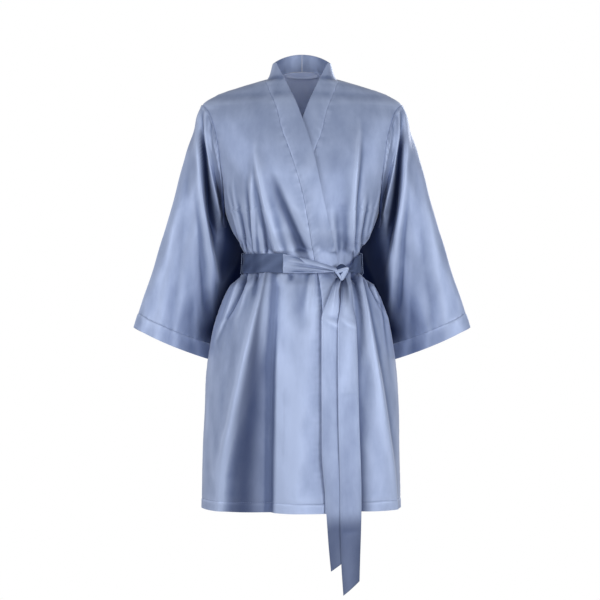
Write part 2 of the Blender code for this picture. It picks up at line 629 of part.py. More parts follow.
def belt_wrap():
    """The belt from under its front stretch, round the wearer's right side and the back, to the knot."""
    first = front_angle(BELT_FRONT[0].x + 0.010, BELT_DROP)
    last = front_angle(BELT_END[-1].x, BELT_DROP)
    turns = np.linspace(first, last - 2 * np.pi, 44)
    ends = np.linspace(BELT_END[-1].x, BELT_END[0].x, 6)[1:]
    end = ribbon(BELT_END, "x", ends)
    drop = np.concatenate([np.full(len(turns), BELT_DROP + 0.001), end["drop"]])
    half = np.concatenate([np.full(len(turns), BELT_WIDTH / 2), end["half_width"]])
    end_angle = front_angle_beneath(ends, end["drop"], end["out"])
    angle = np.concatenate([turns, end_angle - 2 * np.pi])
    out = np.concatenate([BELT_OUT + wrap(turns, np.full(len(turns), BELT_DROP)), end["out"]])
    across = np.linspace(-1, 1, 4)
    level = drop[:, None] + half[:, None] * across
    angle = np.repeat(angle[:, None], len(across), 1)
    bulge = np.concatenate([np.zeros((len(turns), len(across))), 0.6 * folded_out(across, end["half_width"])])
    middle = skin(angle, level, out[:, None] + bulge)
    sheet_wall("belt_wrap", middle, CLOTH, SATIN_SHADE)


def belt_front():
    """The gathered stretch that lies over the wrap and narrows to the knot."""
    x = np.linspace(BELT_FRONT[0].x, BELT_FRONT[-1].x, 14)
    row = ribbon(BELT_FRONT, "x", x)
    across = np.linspace(-1, 1, 6)
    level = row["drop"][:, None] + row["half_width"][:, None] * across
    angle = front_angle_beneath(x[:, None], level, row["out"][:, None])
    ease = smooth(0, 0.4, (x - x[0]) / (x[-1] - x[0]))[:, None]
    pleat = 0.0022 * np.cos(3.2 * np.pi * (across[None] - 0.2)) * ease
    middle = skin(angle, level, row["out"][:, None] + 0.5 * folded_out(across, row["half_width"]) + pleat)
    sheet_wall("belt_front", middle, CLOTH, SATIN)


def belt_knot():
    """The knot: a lump with the belt's own wrap over it, drawn together at its lower middle."""
    rows, columns = 12, 18
    polar = np.linspace(0, np.pi, rows)[:, None]
    turn = np.linspace(0, 2 * np.pi, columns, endpoint=False)[None]
    swell = 1 + 0.07 * np.cos(3 * turn + 0.6) * np.sin(polar) + 0.05 * np.cos(5 * polar)
    x = KNOT_SIZE[0] * swell * np.sin(polar) * np.cos(turn)
    y = KNOT_SIZE[1] * swell * np.sin(polar) * np.sin(turn)
    z = KNOT_SIZE[2] * np.cos(polar) * np.ones_like(turn)
    place = skin(front_angle_beneath(KNOT_X, KNOT_DROP, KNOT_OUT), KNOT_DROP, KNOT_OUT)
    grid = np.stack([x, y, z], -1) + place
    points = np.concatenate([grid[:1, 0], grid[1:-1].reshape(-1, 3), grid[-1:, 0]])
    body = cells(rows - 2, columns, True) + 1
    ahead = np.arange(columns)
    after = (ahead + 1) % columns
    last = len(points) - 1
    top = np.stack([np.zeros_like(ahead), after + 1, ahead + 1], -1)
    low = np.stack([np.full_like(ahead, last), last - columns + ahead, last - columns + after], -1)
    new_object("belt_knot", points, np.concatenate([body, top, low]), SATIN)


def belt_tail(name, table):
    """A free end: it hangs from the knot over the skirt, past the hem, to its slanting cut."""
    share = np.linspace(0, 1, TAIL_ROWS) ** 1.25
    drop = table[0].drop + (table[-1].drop - table[0].drop) * share
    row = ribbon(table, "drop", drop)
    across = np.linspace(-1, 1, TAIL_COLUMNS)
    x = row["x"][:, None] + row["half_width"][:, None] * across
    lay = np.minimum(drop, HEM_DROP)[:, None] * np.ones_like(x)
    angle = front_angle(x, lay)
    middle = skin(angle, lay, row["out"][:, None] + folded_out(across, row["half_width"]))
    middle[..., 0] = x
    slant = TAIL_SLANT * smooth(table[-1].drop - 0.12, table[-1].drop, drop)[:, None] * across
    middle[..., 2] = -drop[:, None] + slant
    sheet_wall(name, middle, CLOTH, SATIN)


def flat_strip(name, angle, drop, out, width, thickness, colour):
    """A narrow strip along a path on the body: the path's angles, drops and distances out, and its width."""
    across = np.array([-0.5, 0.0, 0.5])
    path = skin(angle, drop, out)
    along = np.gradient(path, axis=0)
    side = np.cross(along, outward(angle, drop))
    side /= np.linalg.norm(side, axis=-1, keepdims=True)
    middle = path[:, None] + side[:, None] * (width * across)[None, :, None]
    sheet_wall(name, middle, thickness, colour)


def hanger_loop():
    """The thin loop inside the back neck, sewn at both ends and sagging between them."""
    half_span = 0.027
    t = np.linspace(-1, 1, 11)
    angle = np.pi / 2 - t * half_span / 0.066
    drop = 0.0045 + 0.0060 * (1 - t**2)
    out = -(CLOTH / 2 + LAYER_GAP + 0.0008) - 0.0045 * (1 - t**4) + relief(angle, drop)
    flat_strip("hanger_loop", angle, drop, out, 0.0050, 0.0010, SATIN_SHADE)


def belt_loop(name, angle):
    """A thread loop at a side seam: a narrow bridge over the belt, sewn down above and below it."""
    t = np.sin(np.linspace(-np.pi / 2, np.pi / 2, 13))
    drop = BELT_DROP + 0.001 + (BELT_WIDTH / 2 + 0.0035) * t
    over = smooth(1.0, 0.89, np.abs(t))
    low = CLOTH / 2 + LAYER_GAP + 0.0009
    out = low + (BELT_OUT + CLOTH / 2 + 0.0019 - low) * over + relief(np.full(13, angle), drop) * (1 - over)
    flat_strip(name, np.full(13, angle), drop, out, 0.0022, 0.0010, THREAD)


def main():
    for old in list(bpy.data.objects):
        bpy.data.objects.remove(old)
    body_panels()
    band_half("band_left", False)
    band_half("band_right", True)
    sleeves_and_cuffs()
    hanger_loop()
    belt_wrap()
    belt_front()
    belt_knot()
    belt_tail("belt_tail_under", TAIL_UNDER)
    belt_tail("belt_tail_upper", TAIL_UPPER)
    belt_loop("belt_loop_left", 0.0)
    belt_loop("belt_loop_right", np.pi)


main()
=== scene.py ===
"""Looks of a short satin kimono robe: every piece of cloth as a thin shell with its creases, seams and stitches.

The body of the robe is one surface, skin(angle, drop, out): angle goes round the body (0 at the wearer's left
side, -90 degrees at the front, 90 at the back), drop is the distance below the neck point, and out is the
distance outside the bare form. Each panel is a patch of it. The sleeves are rounded sections melted into the
armhole's oval, and the belt is ribbons carried round the waist. The front faces -Y and up is +Z.
"""

from collections import namedtuple
from types import SimpleNamespace

import bpy
import numpy as np
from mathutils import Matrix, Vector
from numpy import arange, array, clip, concatenate, cos, cross, exp, hypot, linspace, maximum, pi, sin, stack, where


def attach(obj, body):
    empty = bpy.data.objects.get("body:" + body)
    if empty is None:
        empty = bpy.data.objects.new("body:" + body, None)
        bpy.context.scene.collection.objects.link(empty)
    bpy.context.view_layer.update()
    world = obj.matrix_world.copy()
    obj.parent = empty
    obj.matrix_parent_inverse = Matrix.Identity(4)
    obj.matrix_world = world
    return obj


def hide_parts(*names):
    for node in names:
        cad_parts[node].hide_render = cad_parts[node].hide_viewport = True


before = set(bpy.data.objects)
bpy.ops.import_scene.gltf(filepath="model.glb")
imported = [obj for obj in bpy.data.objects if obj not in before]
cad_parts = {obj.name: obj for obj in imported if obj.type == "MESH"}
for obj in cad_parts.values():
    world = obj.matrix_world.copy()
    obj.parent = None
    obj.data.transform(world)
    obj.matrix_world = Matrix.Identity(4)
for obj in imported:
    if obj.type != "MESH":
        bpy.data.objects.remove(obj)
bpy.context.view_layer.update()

# Cloth, in metres: a wall a little thicker than the real satin, so that its edges show
CLOTH = 0.0008
BAND_CLOTH = 0.0016
BELT_CLOTH = 0.0013
KNOT_CLOTH = 0.0006
SEAM_GAP = 0.0004
SEAM_ROLL = 0.0005
SEAM_SOFT = 0.0016

# Lengths down from the neck point
HEM_DROP = 0.850
STITCH_DROP = HEM_DROP - 0.019
SHOULDER_DROP = 0.052
UNDERARM_DROP = 0.262
BELT_DROP = 0.366
TROUGH_DROP = 0.384

ARMHOLE_HALF = (UNDERARM_DROP - SHOULDER_DROP) / 2
ARMHOLE_MIDDLE = (UNDERARM_DROP + SHOULDER_DROP) / 2
ARMHOLE_DEPTH = 0.056
ARMHOLE_LAP = 0.003
BACK_NECK_RISE = 0.026
BACK_NECK_REACH = 0.120
COLLAR_STAND = 0.034
WRAP_LIFT = 0.006

BELT_WIDTH = 0.040
BELT_OUT = 0.0046
KNOT_SIZE = (0.0120, 0.0095, 0.0135)
KNOT_X = 0.0768
KNOT_DROP = 0.3853
KNOT_OUT = 0.0219
TAIL_SLANT = 0.013

SLEEVE_LEAN = 0.55
SLEEVE_LENGTH = 0.50
SLEEVE_CLEAR = 0.0014
SLEEVE_SOFT = 0.0015
CUFF_SHARE = 0.925
MOUTH_DIP = 1.5

# Sewing thread, drawn about twice as thick as real so that the rows can be seen
STITCH_PITCH = 0.0034
STITCH_LENGTH = 0.0026
STITCH_RADIUS = 0.00032

# Columns of a panel, and its width in metres
PANEL_COLUMNS = {"front_left": (84, 0.21), "front_right": (112, 0.27), "back": (140, 0.42)}
BAND_COLUMNS = (14, 0.045)

# How far away a point's neighbours are, and how deep behind them is a full hollow, for the shade painted into hollows
HOLLOW_REACH = 0.009
HOLLOW_DEEP = 0.0022

# Painted shade: how dark the cloth is painted by place, where hardly any light gets in
PLEAT_DARK = 0.55
VALLEY_DARK = 0.92
UNDER_KNOT_DARK = 0.85


def table(fields, text):
    """Named rows of numbers written in thousandths: lengths in millimetres. Comments follow a #."""
    kind = namedtuple("Row", fields)
    numbers = [float(word) / 1000 for line in text.splitlines() for word in line.split("#")[0].split()]
    return [kind(*row) for row in np.reshape(numbers, (-1, len(kind._fields))).tolist()]


# Level sections of the body
RINGS = table("drop half_width front back roundness", """
-40 56 30 53 2000
0 70 44 60 2000
6 99 47 62 1750
14 127 51 64 1650
30 172 59 69 1650
52 200 73 78 1900
90 199 88 90 2200
145 189 106 100 2200
200 172 115 103 2200
260 154 114 100 2100
300 139 107 95 2100
346 113 90 85 2100
384 115 89 86 2100
413 145 102 100 2100
444 161 110 110 2150
513 180 119 120 2200
624 192 124 126 2200
850 196 126 128 2200
""")

# The seam of the neck and front band, and the band's free edge: the wearer's left, the right is its mirror
EDGE = "drop x"
BAND_SEAM = table(EDGE, """
3 72.5   35 60.5   70 47.5   104 40   150 23.5
231 -1   350 -22   450 -38   850 -43
""")
BAND_EDGE = table(EDGE, """
-34 51   30 21   81 1   154 -22.2   245 -41.6
329 -60.3   400 -73   450 -81   850 -86
""")
BAND_SQUARE = table("drop above", """
3 37   35 30   70 16   150 14
231 9   350 7   450 2   850 0
""")

# Sleeve sections: the outer and inner end of each, and how far it swells to the front and to the back
SLEEVE = table("outer_x outer_y outer_drop inner_x inner_y inner_drop front back", """
201 0 52 157 0 262 52 56
215 0 90 153 19 286 50 50
229 -2 140 136 52 310 48 40
247 -4 205 113 80 338 46 32
266 -6 278 101 98 374 45 30
290 -6 358 118 110 434 43 30
316 -8 438 146 114 508 41 30
334 -10 492 163 110 568 39 30
""")

# Folds: the path at its top, middle and low end, the height and the width to either side at both ends. FOLDS are
# those of the solids, CREASES the finer ones.
FOLD = "top_x top_drop mid_x low_x low_drop high_top high_low left_top left_low right_top right_low"
FRONT_FOLDS = table(FOLD, """
-60 386 -96 -160 780 9 10 14 32 8 30
-50 415 -55 -62 850 -6 -13 12 42 16 28
-108 388 -130 -156 480 -7 -3 10 12 10 14
-84 384 -87 -92 440 -5 -1 7 9 7 9
26 388 20 14 520 4 3 12 18 9 16
98 386 110 116 530 -6 -2 9 10 7 10
122 386 142 160 460 -6 -3 8 12 8 12
114 404 152 182 850 6 1 14 24 9 20
128 560 118 112 850 -3 -10 20 34 20 30
-90 150 -68 -36 352 3 5 14 10 10 7
-98 215 -93 -87 350 2 4 10 8 8 6
-74 280 -67 -58 352 -2 -5 8 6 8 6
-22 262 -4 18 356 -1 -6 12 10 8 7
106 140 100 93 352 4 5 18 12 10 8
118 230 112 106 350 -3 -5 8 7 12 8
70 270 72 76 352 -1 -4 12 9 12 9
""")
FRONT_CREASES = table(FOLD, """
# bodice, wearer's right: the pocket of cloth by the side, then pleats drawn into the belt
-146 225 -126 -104 376 2 4 6 4 8 3.5
-124 262 -113 -101 376 -3 -8 6 3 8 4
-136 215 -122 -98 376 1.8 3 5 4 5 4
-107 215 -98 -89 376 -1.6 -7.5 7 3.4 5 2.6
-97 195 -94 -86 376 1.6 6 6 3 5 3
-83 225 -73 -63 376 -2 -8.5 4.6 4 6 2.6
-88 150 -68 -35 376 2.4 7 9 4.4 16 6
-58 190 -24 18 376 -4 -12 16 14 13 6
-40 250 -26 -10 376 1 2.6 10 6 10 6
# bodice, wearer's left: the long lit ridge, the dark pleat beside it, the pocket by the side
110 110 99 95 376 8.5 7.5 30 8 8 2.8
112 205 105 100 376 -4 -9 4 2.8 6 3.6
121 255 113 105 376 2 5 4.4 3 4.4 2.8
130 250 121 109 376 -4 -8 6 3.6 6 3.6
152 225 134 112 376 2 4 7 4 6 4
83 270 84 83 376 -1 -4 6 4 6 3.4
58 260 62 70 376 1 3.6 8 5 8 4.4
# skirt, wearer's right hip: the rim, the valley inside it and the notches under the belt
-114 384 -144 -170 520 4 3 6 10 4 7
-110 384 -126 -146 470 -8 -3 4.4 7 6 10
-86 384 -89 -94 425 -7 -1 4 6 4 6
-100 384 -112 -128 480 3.4 1.6 5 9 5 9
# the long cone's lit edge beside the trough
-62 386 -122 -158 850 3.4 10 11 48 6 18
# the small notches under the front stretch of the belt
-21 384 -21 -22 405 -4.6 -0.6 3 5 3 5
22 384 19 14 470 6 2 7 12 3 5
28 384 32 38 470 -4 -2 2.4 4 3.6 6
4 500 -10 -20 850 0.8 6 20 26 16 34
# skirt, wearer's left: creases beside the tails, the long lit cone and the rim over the hip
100 384 110 117 480 -7 -3 4 6 3.4 6
109 384 116 124 480 4 3 4.4 7 4 6
123 384 140 159 450 -8 -3 4.4 8 3.6 6
130 384 150 172 480 3.6 2.6 4.4 8 5 9
108 400 152 182 850 7.5 7.5 13 48 5 12
158 430 168 176 600 -4 -1 8 12 8 12
106 480 108 112 850 -3 -10 6 10 14 26
""")
BACK_FOLDS = table(FOLD, """
-78 386 -108 -138 800 6 8 14 34 9 26
-48 392 -66 -84 850 -6 -11 12 30 10 26
-16 386 -22 -30 760 5 6 13 26 12 30
18 390 24 32 850 -5 -12 11 30 12 34
52 386 74 96 820 6 8 12 28 14 32
84 388 114 144 700 -6 -5 10 20 10 22
-86 160 -76 -66 352 3 6 20 11 16 9
-34 200 -36 -40 352 -2 -6 18 10 18 10
4 220 0 -6 352 2 5 20 12 18 10
46 180 42 36 352 -2 -6 18 10 20 11
90 170 80 70 352 3 6 18 10 20 12
""")
BACK_CREASES = table(FOLD, """
-100 250 -93 -84 372 -1 -4 8 4.5 8 4
-70 210 -62 -56 372 1.2 4 9 4.5 6 3.5
-20 240 -20 -18 372 0.8 3.6 8 4 7 3.5
22 220 18 12 372 -1.2 -4.2 8 4.5 6 3.4
62 190 56 50 372 1.2 3.8 8 4 8 4.5
104 240 98 90 372 -1.4 -4 8 4 8 4.5
-98 386 -124 -150 560 -3.4 -1.4 4.6 11 4.6 12
-64 386 -84 -108 700 3 2 6 15 3.4 10
-30 386 -36 -44 560 -3 -1 4.4 10 4.4 10
4 386 6 10 640 2.8 1.2 4 11 5 12
36 386 48 62 700 -3.2 -2 4.4 12 5 13
70 386 92 120 640 2.8 1.4 4.4 12 5 12
102 386 128 152 520 -3.2 -1.2 4.6 10 4.6 10
""")

# Folds of the wearer's left sleeve seen from the front and the back; the right one mirrors them
SLEEVE_FRONT = table(FOLD, """
203 85 193 171 400 3 6 9 14 8 16
198 100 188 170 300 -6 -12 8 13 7 10
191 70 184 164 250 2 4 8 8 7 8
226 160 240 262 500 -2 -4 14 18 14 18
206 300 214 224 560 -1 -5 12 16 12 16
250 240 272 298 560 2 3 14 16 14 16
# finer: the crisp lit edge, the deep dark valley behind it, the thin ridge and the puckers beside the armhole
204.5 85 197 174 400 4 6 4 6 12 20
198.5 80 190.5 174 310 -6 -18 6 13 3.6 6
191 74 183.5 163 265 5 7 3 3.6 3 4
181 90 172 162 240 -4 -6 3 3.6 3 3.6
176 120 167 160 190 3 3 2.8 3.6 2.8 3.6
# the soft dark streak behind the lit edge and long soft folds to the mouth
210 235 200 195 440 -2 -7 7 9 6 7
198 260 185 181 480 1 4 6 8 6 9
216 330 212 208 560 0.6 3 8 10 8 10
236 380 246 254 560 0.2 2 9 12 9 12
""")
SLEEVE_VALLEY = SLEEVE_FRONT[7]._replace(low_x=0.1745)
SLEEVE_BACK = table(FOLD, """
205 80 190 166 360 3 6 12 16 12 16
188 110 170 146 330 -5 -8 10 14 10 14
230 180 246 270 540 -2 -4 16 20 16 20
180 340 196 206 580 -1 -5 14 18 14 18
196 90 180 158 320 1.4 2.4 4 6 4 6
182 130 166 150 280 1.4 2 4 6 4 6
214 200 214 220 470 0.8 2.8 8 10 8 10
250 280 262 280 560 0.4 2.4 9 11 9 11
""")

# Belt stretches: where the middle line is, its half width and how far it lies outside the bare body
STRETCH = "x drop half_width out"
BELT_FRONT = table(STRETCH, """
-37 368 20 12.5
-10 371 18 13
20 375 14.5 14
45 379 10.5 15.5
65.2 382.6 6.6 20
""")
BELT_END = table(STRETCH, """
88.2 383 6.5 21.5
98 380 11 12
108 372 17 7
116 367 19.5 4.5
""")
TAIL = "drop x half_width out"
TAIL_UNDER = table(TAIL, """
395.8 71.5 5.5 19.5
419 64 7.5 16
445 60 14 15
475 57 19.5 15.5
725 57.5 20 16
820 64 19.5 15
890 69 19 12
948 73 17 10
""")
TAIL_UPPER = table(TAIL, """
395.7 82.8 5.5 22
419 85.5 9.5 19
448 86 11.5 20
490 86.8 18 20.5
665 89.6 20.3 20.5
820 93.5 21 19.5
920 93.5 19 16.5
994 95 15.5 14.5
""")


# ---- curves and tables

def smooth(low, high, value):
    """0 below low, 1 above high and an S curve between."""
    share = clip((value - low) / (high - low), 0, 1)
    return share * share * (3 - 2 * share)


def bell(value, width):
    """1 at zero, falling away evenly to both sides."""
    return exp(-((value / width) ** 2))


def blend(start, end, share):
    """The value at a share of the way from start to end."""
    return start + (end - start) * share


def bow(top, middle, low, t):
    """The value at t on a bow through three, at t = 0, 0.5 and 1."""
    return (1 - t) * (1 - 2 * t) * top + 4 * t * (1 - t) * middle + t * (2 * t - 1) * low


def circle(count):
    """Angles once round, the first not repeated."""
    return linspace(0, 2 * pi, count, endpoint=False)


def ribbon(count):
    """From -1 to 1 across a ribbon, closer together at its edges."""
    return sin(linspace(-pi / 2, pi / 2, count))


def power(value, exponent):
    """A signed power."""
    return np.sign(value) * np.abs(value) ** exponent


def unit(vectors):
    """Vectors made one long."""
    return vectors / maximum(np.linalg.norm(vectors, axis=-1, keepdims=True), 1e-12)


def curve(stations, values, at):
    """Cubic curve through stations, its slopes held so that it never overshoots."""
    stations, values = np.asarray(stations, float), np.asarray(values, float)
    step = np.diff(stations)
    rise = np.diff(values) / step
    near, far = 2 * step[1:] + step[:-1], step[1:] + 2 * step[:-1]
    same_way = rise[:-1] * rise[1:] > 0
    safe = where(same_way, rise[:-1], 1), where(same_way, rise[1:], 1)
    slope = np.empty_like(values)
    slope[1:-1] = where(same_way, (near + far) / (near / safe[0] + far / safe[1]), 0)
    slope[0], slope[-1] = rise[0], rise[-1]
    at = clip(at, stations[0], stations[-1])
    k = clip(np.searchsorted(stations, at, side="right") - 1, 0, len(step) - 1)
    t = (at - stations[k]) / step[k]
    ends = values[k] * (1 + 2 * t) * (1 - t) ** 2 + values[k + 1] * t * t * (3 - 2 * t)
    return ends + step[k] * (slope[k] * t * (1 - t) ** 2 - slope[k + 1] * t * t * (1 - t))


def read(rows, at, station="drop"):
    """A table's columns as curves over one of them, or over even steps from 0 to 1, at the given places."""
    columns = dict(zip(rows[0]._fields, zip(*rows)))
    stations = columns.pop(station) if station else linspace(0, 1, len(rows))
    return SimpleNamespace(**{name: curve(stations, values, at) for name, values in columns.items()})


# ---- the form of the body

def bare(angle, drop):
    """Point of the bare body: a rounded ring at each drop, with the back of the neck raised."""
    angle, drop = np.broadcast_arrays(np.asarray(angle, float), np.asarray(drop, float))
    ring = read(RINGS, drop)
    x = ring.half_width * power(cos(angle), 2 / ring.roundness)
    y = where(sin(angle) < 0, ring.front, ring.back) * power(sin(angle), 2 / ring.roundness)
    lift = BACK_NECK_RISE * clip(sin(angle), 0, 1) ** 1.5 * (1 - smooth(-0.01, BACK_NECK_REACH, drop))
    return stack([x, y, lift - drop], -1)


def outward(angle, drop):
    """Unit vector square to the bare body, from small steps round it and down it."""
    tiny = 1e-4
    around = bare(angle + 10 * tiny, drop) - bare(angle - 10 * tiny, drop)
    return unit(cross(bare(angle, drop + tiny) - bare(angle, drop - tiny), around))


def skin(angle, drop, out):
    """Point of the body's surface moved out by a distance."""
    return bare(angle, drop) + outward(angle, drop) * np.asarray(out)[..., None]


def front_angle(x, drop):
    """Angle at which the front of the ring at this drop reaches x."""
    ring = read(RINGS, drop)
    return -np.arccos(power(clip(x / ring.half_width, -1, 1), ring.roundness / 2))


def front_angle_beneath(x, drop, out):
    """Angle at which a point this far out from the front has the given x."""
    angle = front_angle(x, drop)
    for _ in range(3):
        angle = front_angle(x - outward(angle, drop)[..., 0] * out, drop)
    return angle


def depth_angle(y, drop, front):
    """Angle from the side at which the ring is y before or behind the side seam."""
    ring = read(RINGS, drop)
    return np.arcsin(clip(y / (ring.front if front else ring.back), 0, 1) ** (ring.roundness / 2))


# ---- folds

def fold_path(fold, drop):
    """Share of the way down a fold, and the x of its path there."""
    t = clip((drop - fold.top_drop) / (fold.low_drop - fold.top_drop), 0, 1)
    return t, bow(fold.top_x, fold.mid_x, fold.low_x, t)


def fold_height(fold, x, drop, path_x=None, stretch=1.0):
    """A fold's height: a bell across its path, uneven on its two sides, that fades at both ends."""
    t, own_x = fold_path(fold, drop)
    away = (x - (own_x if path_x is None else path_x)) * stretch
    width = where(away < 0, blend(fold.left_top, fold.left_low, t), blend(fold.right_top, fold.right_low, t))
    length = fold.low_drop - fold.top_drop
    at_belt = BELT_DROP - 0.03 < fold.top_drop < BELT_DROP + 0.06
    rise = 0 if at_belt else min(0.25 * length, 0.05)
    high = blend(fold.high_top, fold.high_low, t) * smooth(fold.top_drop - 0.02 - rise / 2, fold.top_drop + rise, drop)
    if fold.low_drop < HEM_DROP:
        high = high * (1 - smooth(fold.low_drop - 0.22 * length, fold.low_drop + 0.22 * length, drop))
    return high * exp(-np.abs(away / width) ** 1.7)


def body_folds(front, back, angle, drop):
    """Height of a front and a back table's folds, their widths measured along the ring."""
    ring = read(RINGS, drop)
    total = 0.0
    for folds, deep, facing in ((front, ring.front, -sin(angle)), (back, ring.back, sin(angle))):
        speed = hypot(ring.half_width * sin(angle), deep * cos(angle))
        for fold in folds:
            path = front_angle(fold_path(fold, drop)[1], drop)
            stretch = speed / maximum(np.abs(sin(path)), 0.25)
            total = total + fold_height(fold, cos(angle), drop, cos(path), stretch) * smooth(-0.05, 0.12, facing)
    return total


def gathers(angle, drop, count, low, more, near, far, width):
    """Small uneven ridges drawn in by the belt, all round."""
    total = np.zeros(np.broadcast(angle, drop).shape)
    away = maximum(np.abs(drop - BELT_DROP) - BELT_WIDTH / 2, 0)
    for k in range(count):
        at = 2 * pi * (k + 0.33 * sin(2.4 * k)) / count
        turn = (angle - at + pi) % (2 * pi) - pi
        high = low + more * sin(1.7 * k) ** 2
        total += high * bell(turn, width) * bell(away, near + far * sin(0.9 * k + 1) ** 2)
    return total


def front_trough(angle, drop):
    """Height of the trough beside the long cone, and the shade painted into it: its floor slants back to a steep,
    straight bank.
    """
    t = clip((drop - TROUGH_DROP) / (HEM_DROP - TROUGH_DROP), 0, 1)
    near, far = bow(-0.0625, -0.115, -0.146, t), blend(-0.053, -0.059, t)
    x = bare(angle, drop)[..., 0]
    share = (x - near) / maximum(far - near, 0.004)
    slant = (share + hypot(share, 0.12) - 0.12) / 2
    bank = (sin(angle) < 0) * smooth(TROUGH_DROP - 0.02, TROUGH_DROP, drop) * smooth(0.0075, -0.0075, x - far)
    deep = blend(0.005, 0.015, smooth(0, 0.7, t))
    low = smooth(0.10, 0.45, t)
    # Painted shade over the trough's floor, darkest along a band that widens towards the hem
    dark = 0.20 + 0.20 * low + 0.45 * bell(share - 0.08 - 0.26 * low, 0.20 + 0.12 * low)
    soft = 0.002 + 0.012 * t
    return -deep * slant * bank, dark * smooth(-soft, soft, x - near) * bank


def drift(angle, drop):
    """Slow unevenness of hanging satin: long waves that cross."""
    long = sin(7 * angle + 9 * drop) * sin(23 * drop + 2 * angle + 1)
    return 0.0007 * long + 0.0004 * sin(13 * angle - 17 * drop + 2) * sin(41 * drop - 5 * angle)


def relief(angle, drop):
    """All folds of the body, pressed nearly flat where the belt lies on them."""
    total = gathers(angle, drop, 17, 0.0014, 0.0012, 0.030, 0.022, 0.10)
    total += gathers(angle, drop, 43, 0.0006, 0.0010, 0.012, 0.020, 0.030)
    total += body_folds(FRONT_FOLDS + FRONT_CREASES, BACK_FOLDS + BACK_CREASES, angle, drop)
    total += front_trough(angle, drop)[0] + drift(angle, drop) * smooth(0.02, 0.12, drop)
    return total * (1 - 0.9 * exp(-np.abs((drop - BELT_DROP) / 0.024) ** 8))


def wrap(angle, drop):
    """How far the wearer's right front is lifted where it lies over the left one."""
    from_right = angle % (2 * pi) - pi
    full = pi + front_angle(read(BAND_EDGE, drop).x, drop) - 0.14
    return WRAP_LIFT * smooth(0.62, maximum(full, 0.9), from_right) * smooth(0.004, 0.066, drop)


# ---- meshes

def grid_normals(grid, around=False):
    """Unit vectors square to a grid of points."""
    across = (np.roll(grid, -1, 1) - np.roll(grid, 1, 1)) / 2 if around else np.gradient(grid, axis=1)
    return unit(cross(np.gradient(grid, axis=0), across))


def corners_of(rows, columns, around):
    """Row and column of the four corners of a grid's cells; a tube's last column isn't wrapped yet."""
    i, j = np.indices((rows - 1, columns if around else columns - 1)).reshape(2, -1, 1)
    return i + array([0, 0, 1, 1]), j + array([0, 1, 1, 0])


def rim_of(rows, columns, around):
    """The open edges of a grid, as loops of point numbers."""
    number = arange(rows * columns).reshape(rows, columns)
    if around:
        return [np.append(number[0], number[0, 0]), np.append(number[-1], number[-1, 0])[::-1]]
    return [concatenate([number[0], number[1:, -1], number[-1, -2::-1], number[-2::-1, 0]])]


def lengths(grid, axis, around=False):
    """Distance along a grid from its first row or column, with one more column on a tube."""
    if around:
        grid = concatenate([grid, grid[:, :1]], 1)
    step = np.linalg.norm(np.diff(grid, axis=axis), axis=-1)
    return concatenate([np.zeros_like(np.take(step, [0], axis)), np.cumsum(step, axis)], axis)


def spread(grid, around=False):
    """Distances across and down a grid."""
    return lengths(grid, 1, around), lengths(grid, 0, around)


def hollow(middle, normal, around):
    """How far each point lies behind its neighbours; 1 is a deep valley."""
    total = np.zeros(middle.shape[:2])
    for axis, wrapped in ((0, False), (1, around)):
        count = middle.shape[axis]
        step = np.linalg.norm(np.diff(middle, axis=axis), axis=-1).mean()
        reach = int(clip(round(HOLLOW_REACH / step), 1, count // 3))
        mode = "wrap" if wrapped else "clip"
        before, after = (np.take(middle, arange(count) + k, axis, mode=mode) for k in (-reach, reach))
        total += (((before + after) / 2 - middle) * normal).sum(-1)
    return clip(total / HOLLOW_DEEP, -1, 1)


def square_to(corner):
    """Vectors square to quads, twice their area long."""
    return cross(corner[:, 2] - corner[:, 0], corner[:, 3] - corner[:, 1])


def facing_in(points, faces, centre):
    """Whether quads look in and have to be turned over."""
    return ((points[faces[:, 0]] - centre) * square_to(points[faces])).sum() < 0


def place_in_scene(name, data, place=(0, 0, 0), turned=(0, 0, 0)):
    """Puts a mesh, a light or the camera in its place."""
    new = bpy.data.objects.new(name, data)
    new.location, new.rotation_euler = place, turned
    bpy.context.collection.objects.link(new)
    return new


def new_object(name, points, faces, *materials):
    """A smooth mesh object from points and a list of arrays of faces."""
    mesh = bpy.data.meshes.new(name)
    mesh.from_pydata(points.tolist(), [], [face for group in faces for face in group.tolist()])
    mesh.shade_smooth()
    for material in materials:
        mesh.materials.append(material)
    return place_in_scene(name, mesh)


def cut_of(middle, around=False):
    """Width, length and area of the cloth in a grid of middle points, laid flat."""
    across, down = spread(middle, around)
    i, j = corners_of(*middle.shape[:2], around)
    area = np.linalg.norm(square_to(middle[i, j % middle.shape[1]]), axis=-1).sum() / 2
    flat = float(across[:, -1].max()), float(down[-1].max())
    return flat, min(float(area), flat[0] * flat[1])


